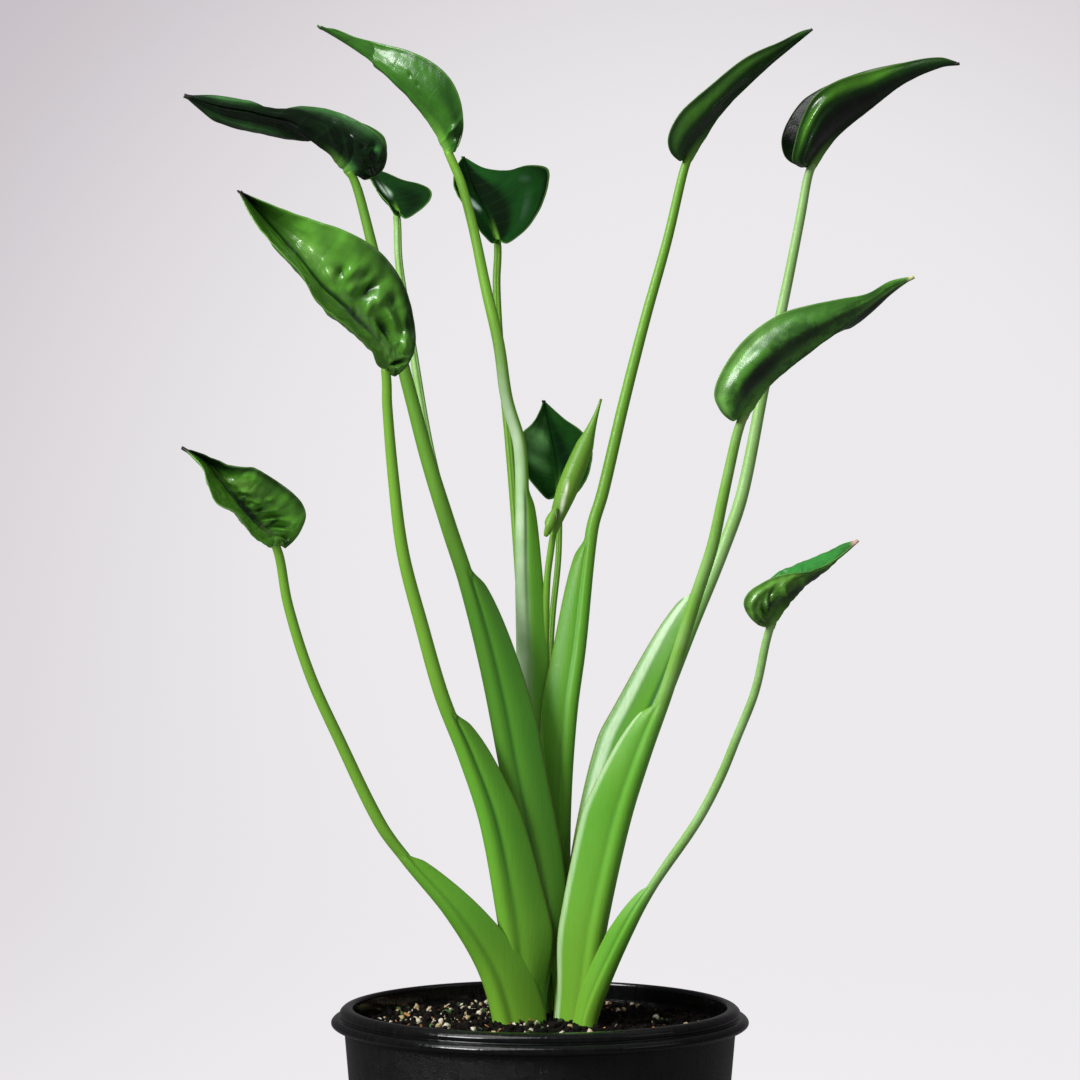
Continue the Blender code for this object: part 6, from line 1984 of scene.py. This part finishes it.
class ALOCASIA_OT_rolled_leaf(bpy.types.Operator):
    """Adds the young leaf, still rolled up, with the curled lobe at its foot"""

    bl_idname = "alocasia.add_rolled_leaf"
    bl_label = "Rolled leaf"

    def execute(self, context):
        settings = context.scene.alocasia_leaf
        points, faces, masks = rolled_solid()
        skin = leaf_skin("leaf_young", YOUNG_LOOK, settings)
        young = new_piece("blade_fine_08", points, faces, skin, masks)
        turn_out(young)
        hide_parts("blade_08")
        return {"FINISHED"}


class ALOCASIA_OT_stage(bpy.types.Operator):
    """Adds the pale floor and wall, the soft lamps and the camera"""

    bl_idname = "alocasia.add_stage"
    bl_label = "Stage"

    def execute(self, context):
        settings = context.scene.alocasia_stage
        add_backdrop(settings)
        add_area_light("key_lamp", KEY_PLACE, KEY_SIZE, settings.key)
        add_area_light("top_lamp", TOP_PLACE, TOP_SIZE, settings.top)
        add_area_light("side_lamp", SIDE_PLACE, SIDE_SIZE, settings.side)
        add_sky()
        add_camera()
        context.scene.view_settings.view_transform = "Standard"
        return {"FINISHED"}


OPERATORS = (
    ALOCASIA_OT_stage,
    ALOCASIA_OT_pot,
    ALOCASIA_OT_soil,
    ALOCASIA_OT_grains,
    ALOCASIA_OT_stalks,
    ALOCASIA_OT_blades,
    ALOCASIA_OT_rolled_leaf,
)
SETTINGS = (
    ("alocasia_pot", PotSettings),
    ("alocasia_soil", SoilSettings),
    ("alocasia_stem", StemSettings),
    ("alocasia_leaf", LeafSettings),
    ("alocasia_stage", StageSettings),
)


class ALOCASIA_PT_panel(bpy.types.Panel):
    """Lists the plant's pieces in the sidebar"""

    bl_label = "Potted Alocasia"
    bl_idname = "ALOCASIA_PT_panel"
    bl_space_type = "VIEW_3D"
    bl_region_type = "UI"
    bl_category = "Alocasia"

    def draw(self, context):
        for operator in OPERATORS:
            self.layout.operator(operator.bl_idname)


def register():
    for _, group in SETTINGS:
        bpy.utils.register_class(group)
    for name, group in SETTINGS:
        setattr(bpy.types.Scene, name, bpy.props.PointerProperty(type=group))
    for made in (*OPERATORS, ALOCASIA_PT_panel):
        bpy.utils.register_class(made)


def unregister():
    for made in (ALOCASIA_PT_panel, *reversed(OPERATORS)):
        bpy.utils.unregister_class(made)
    for name, group in reversed(SETTINGS):
        delattr(bpy.types.Scene, name)
        bpy.utils.unregister_class(group)


def main():
    """Makes every piece in order."""
    register()
    for operator in OPERATORS:
        group, name = operator.bl_idname.split(".")
        getattr(getattr(bpy.ops, group), name)()


if __name__ == "__main__":
    main()
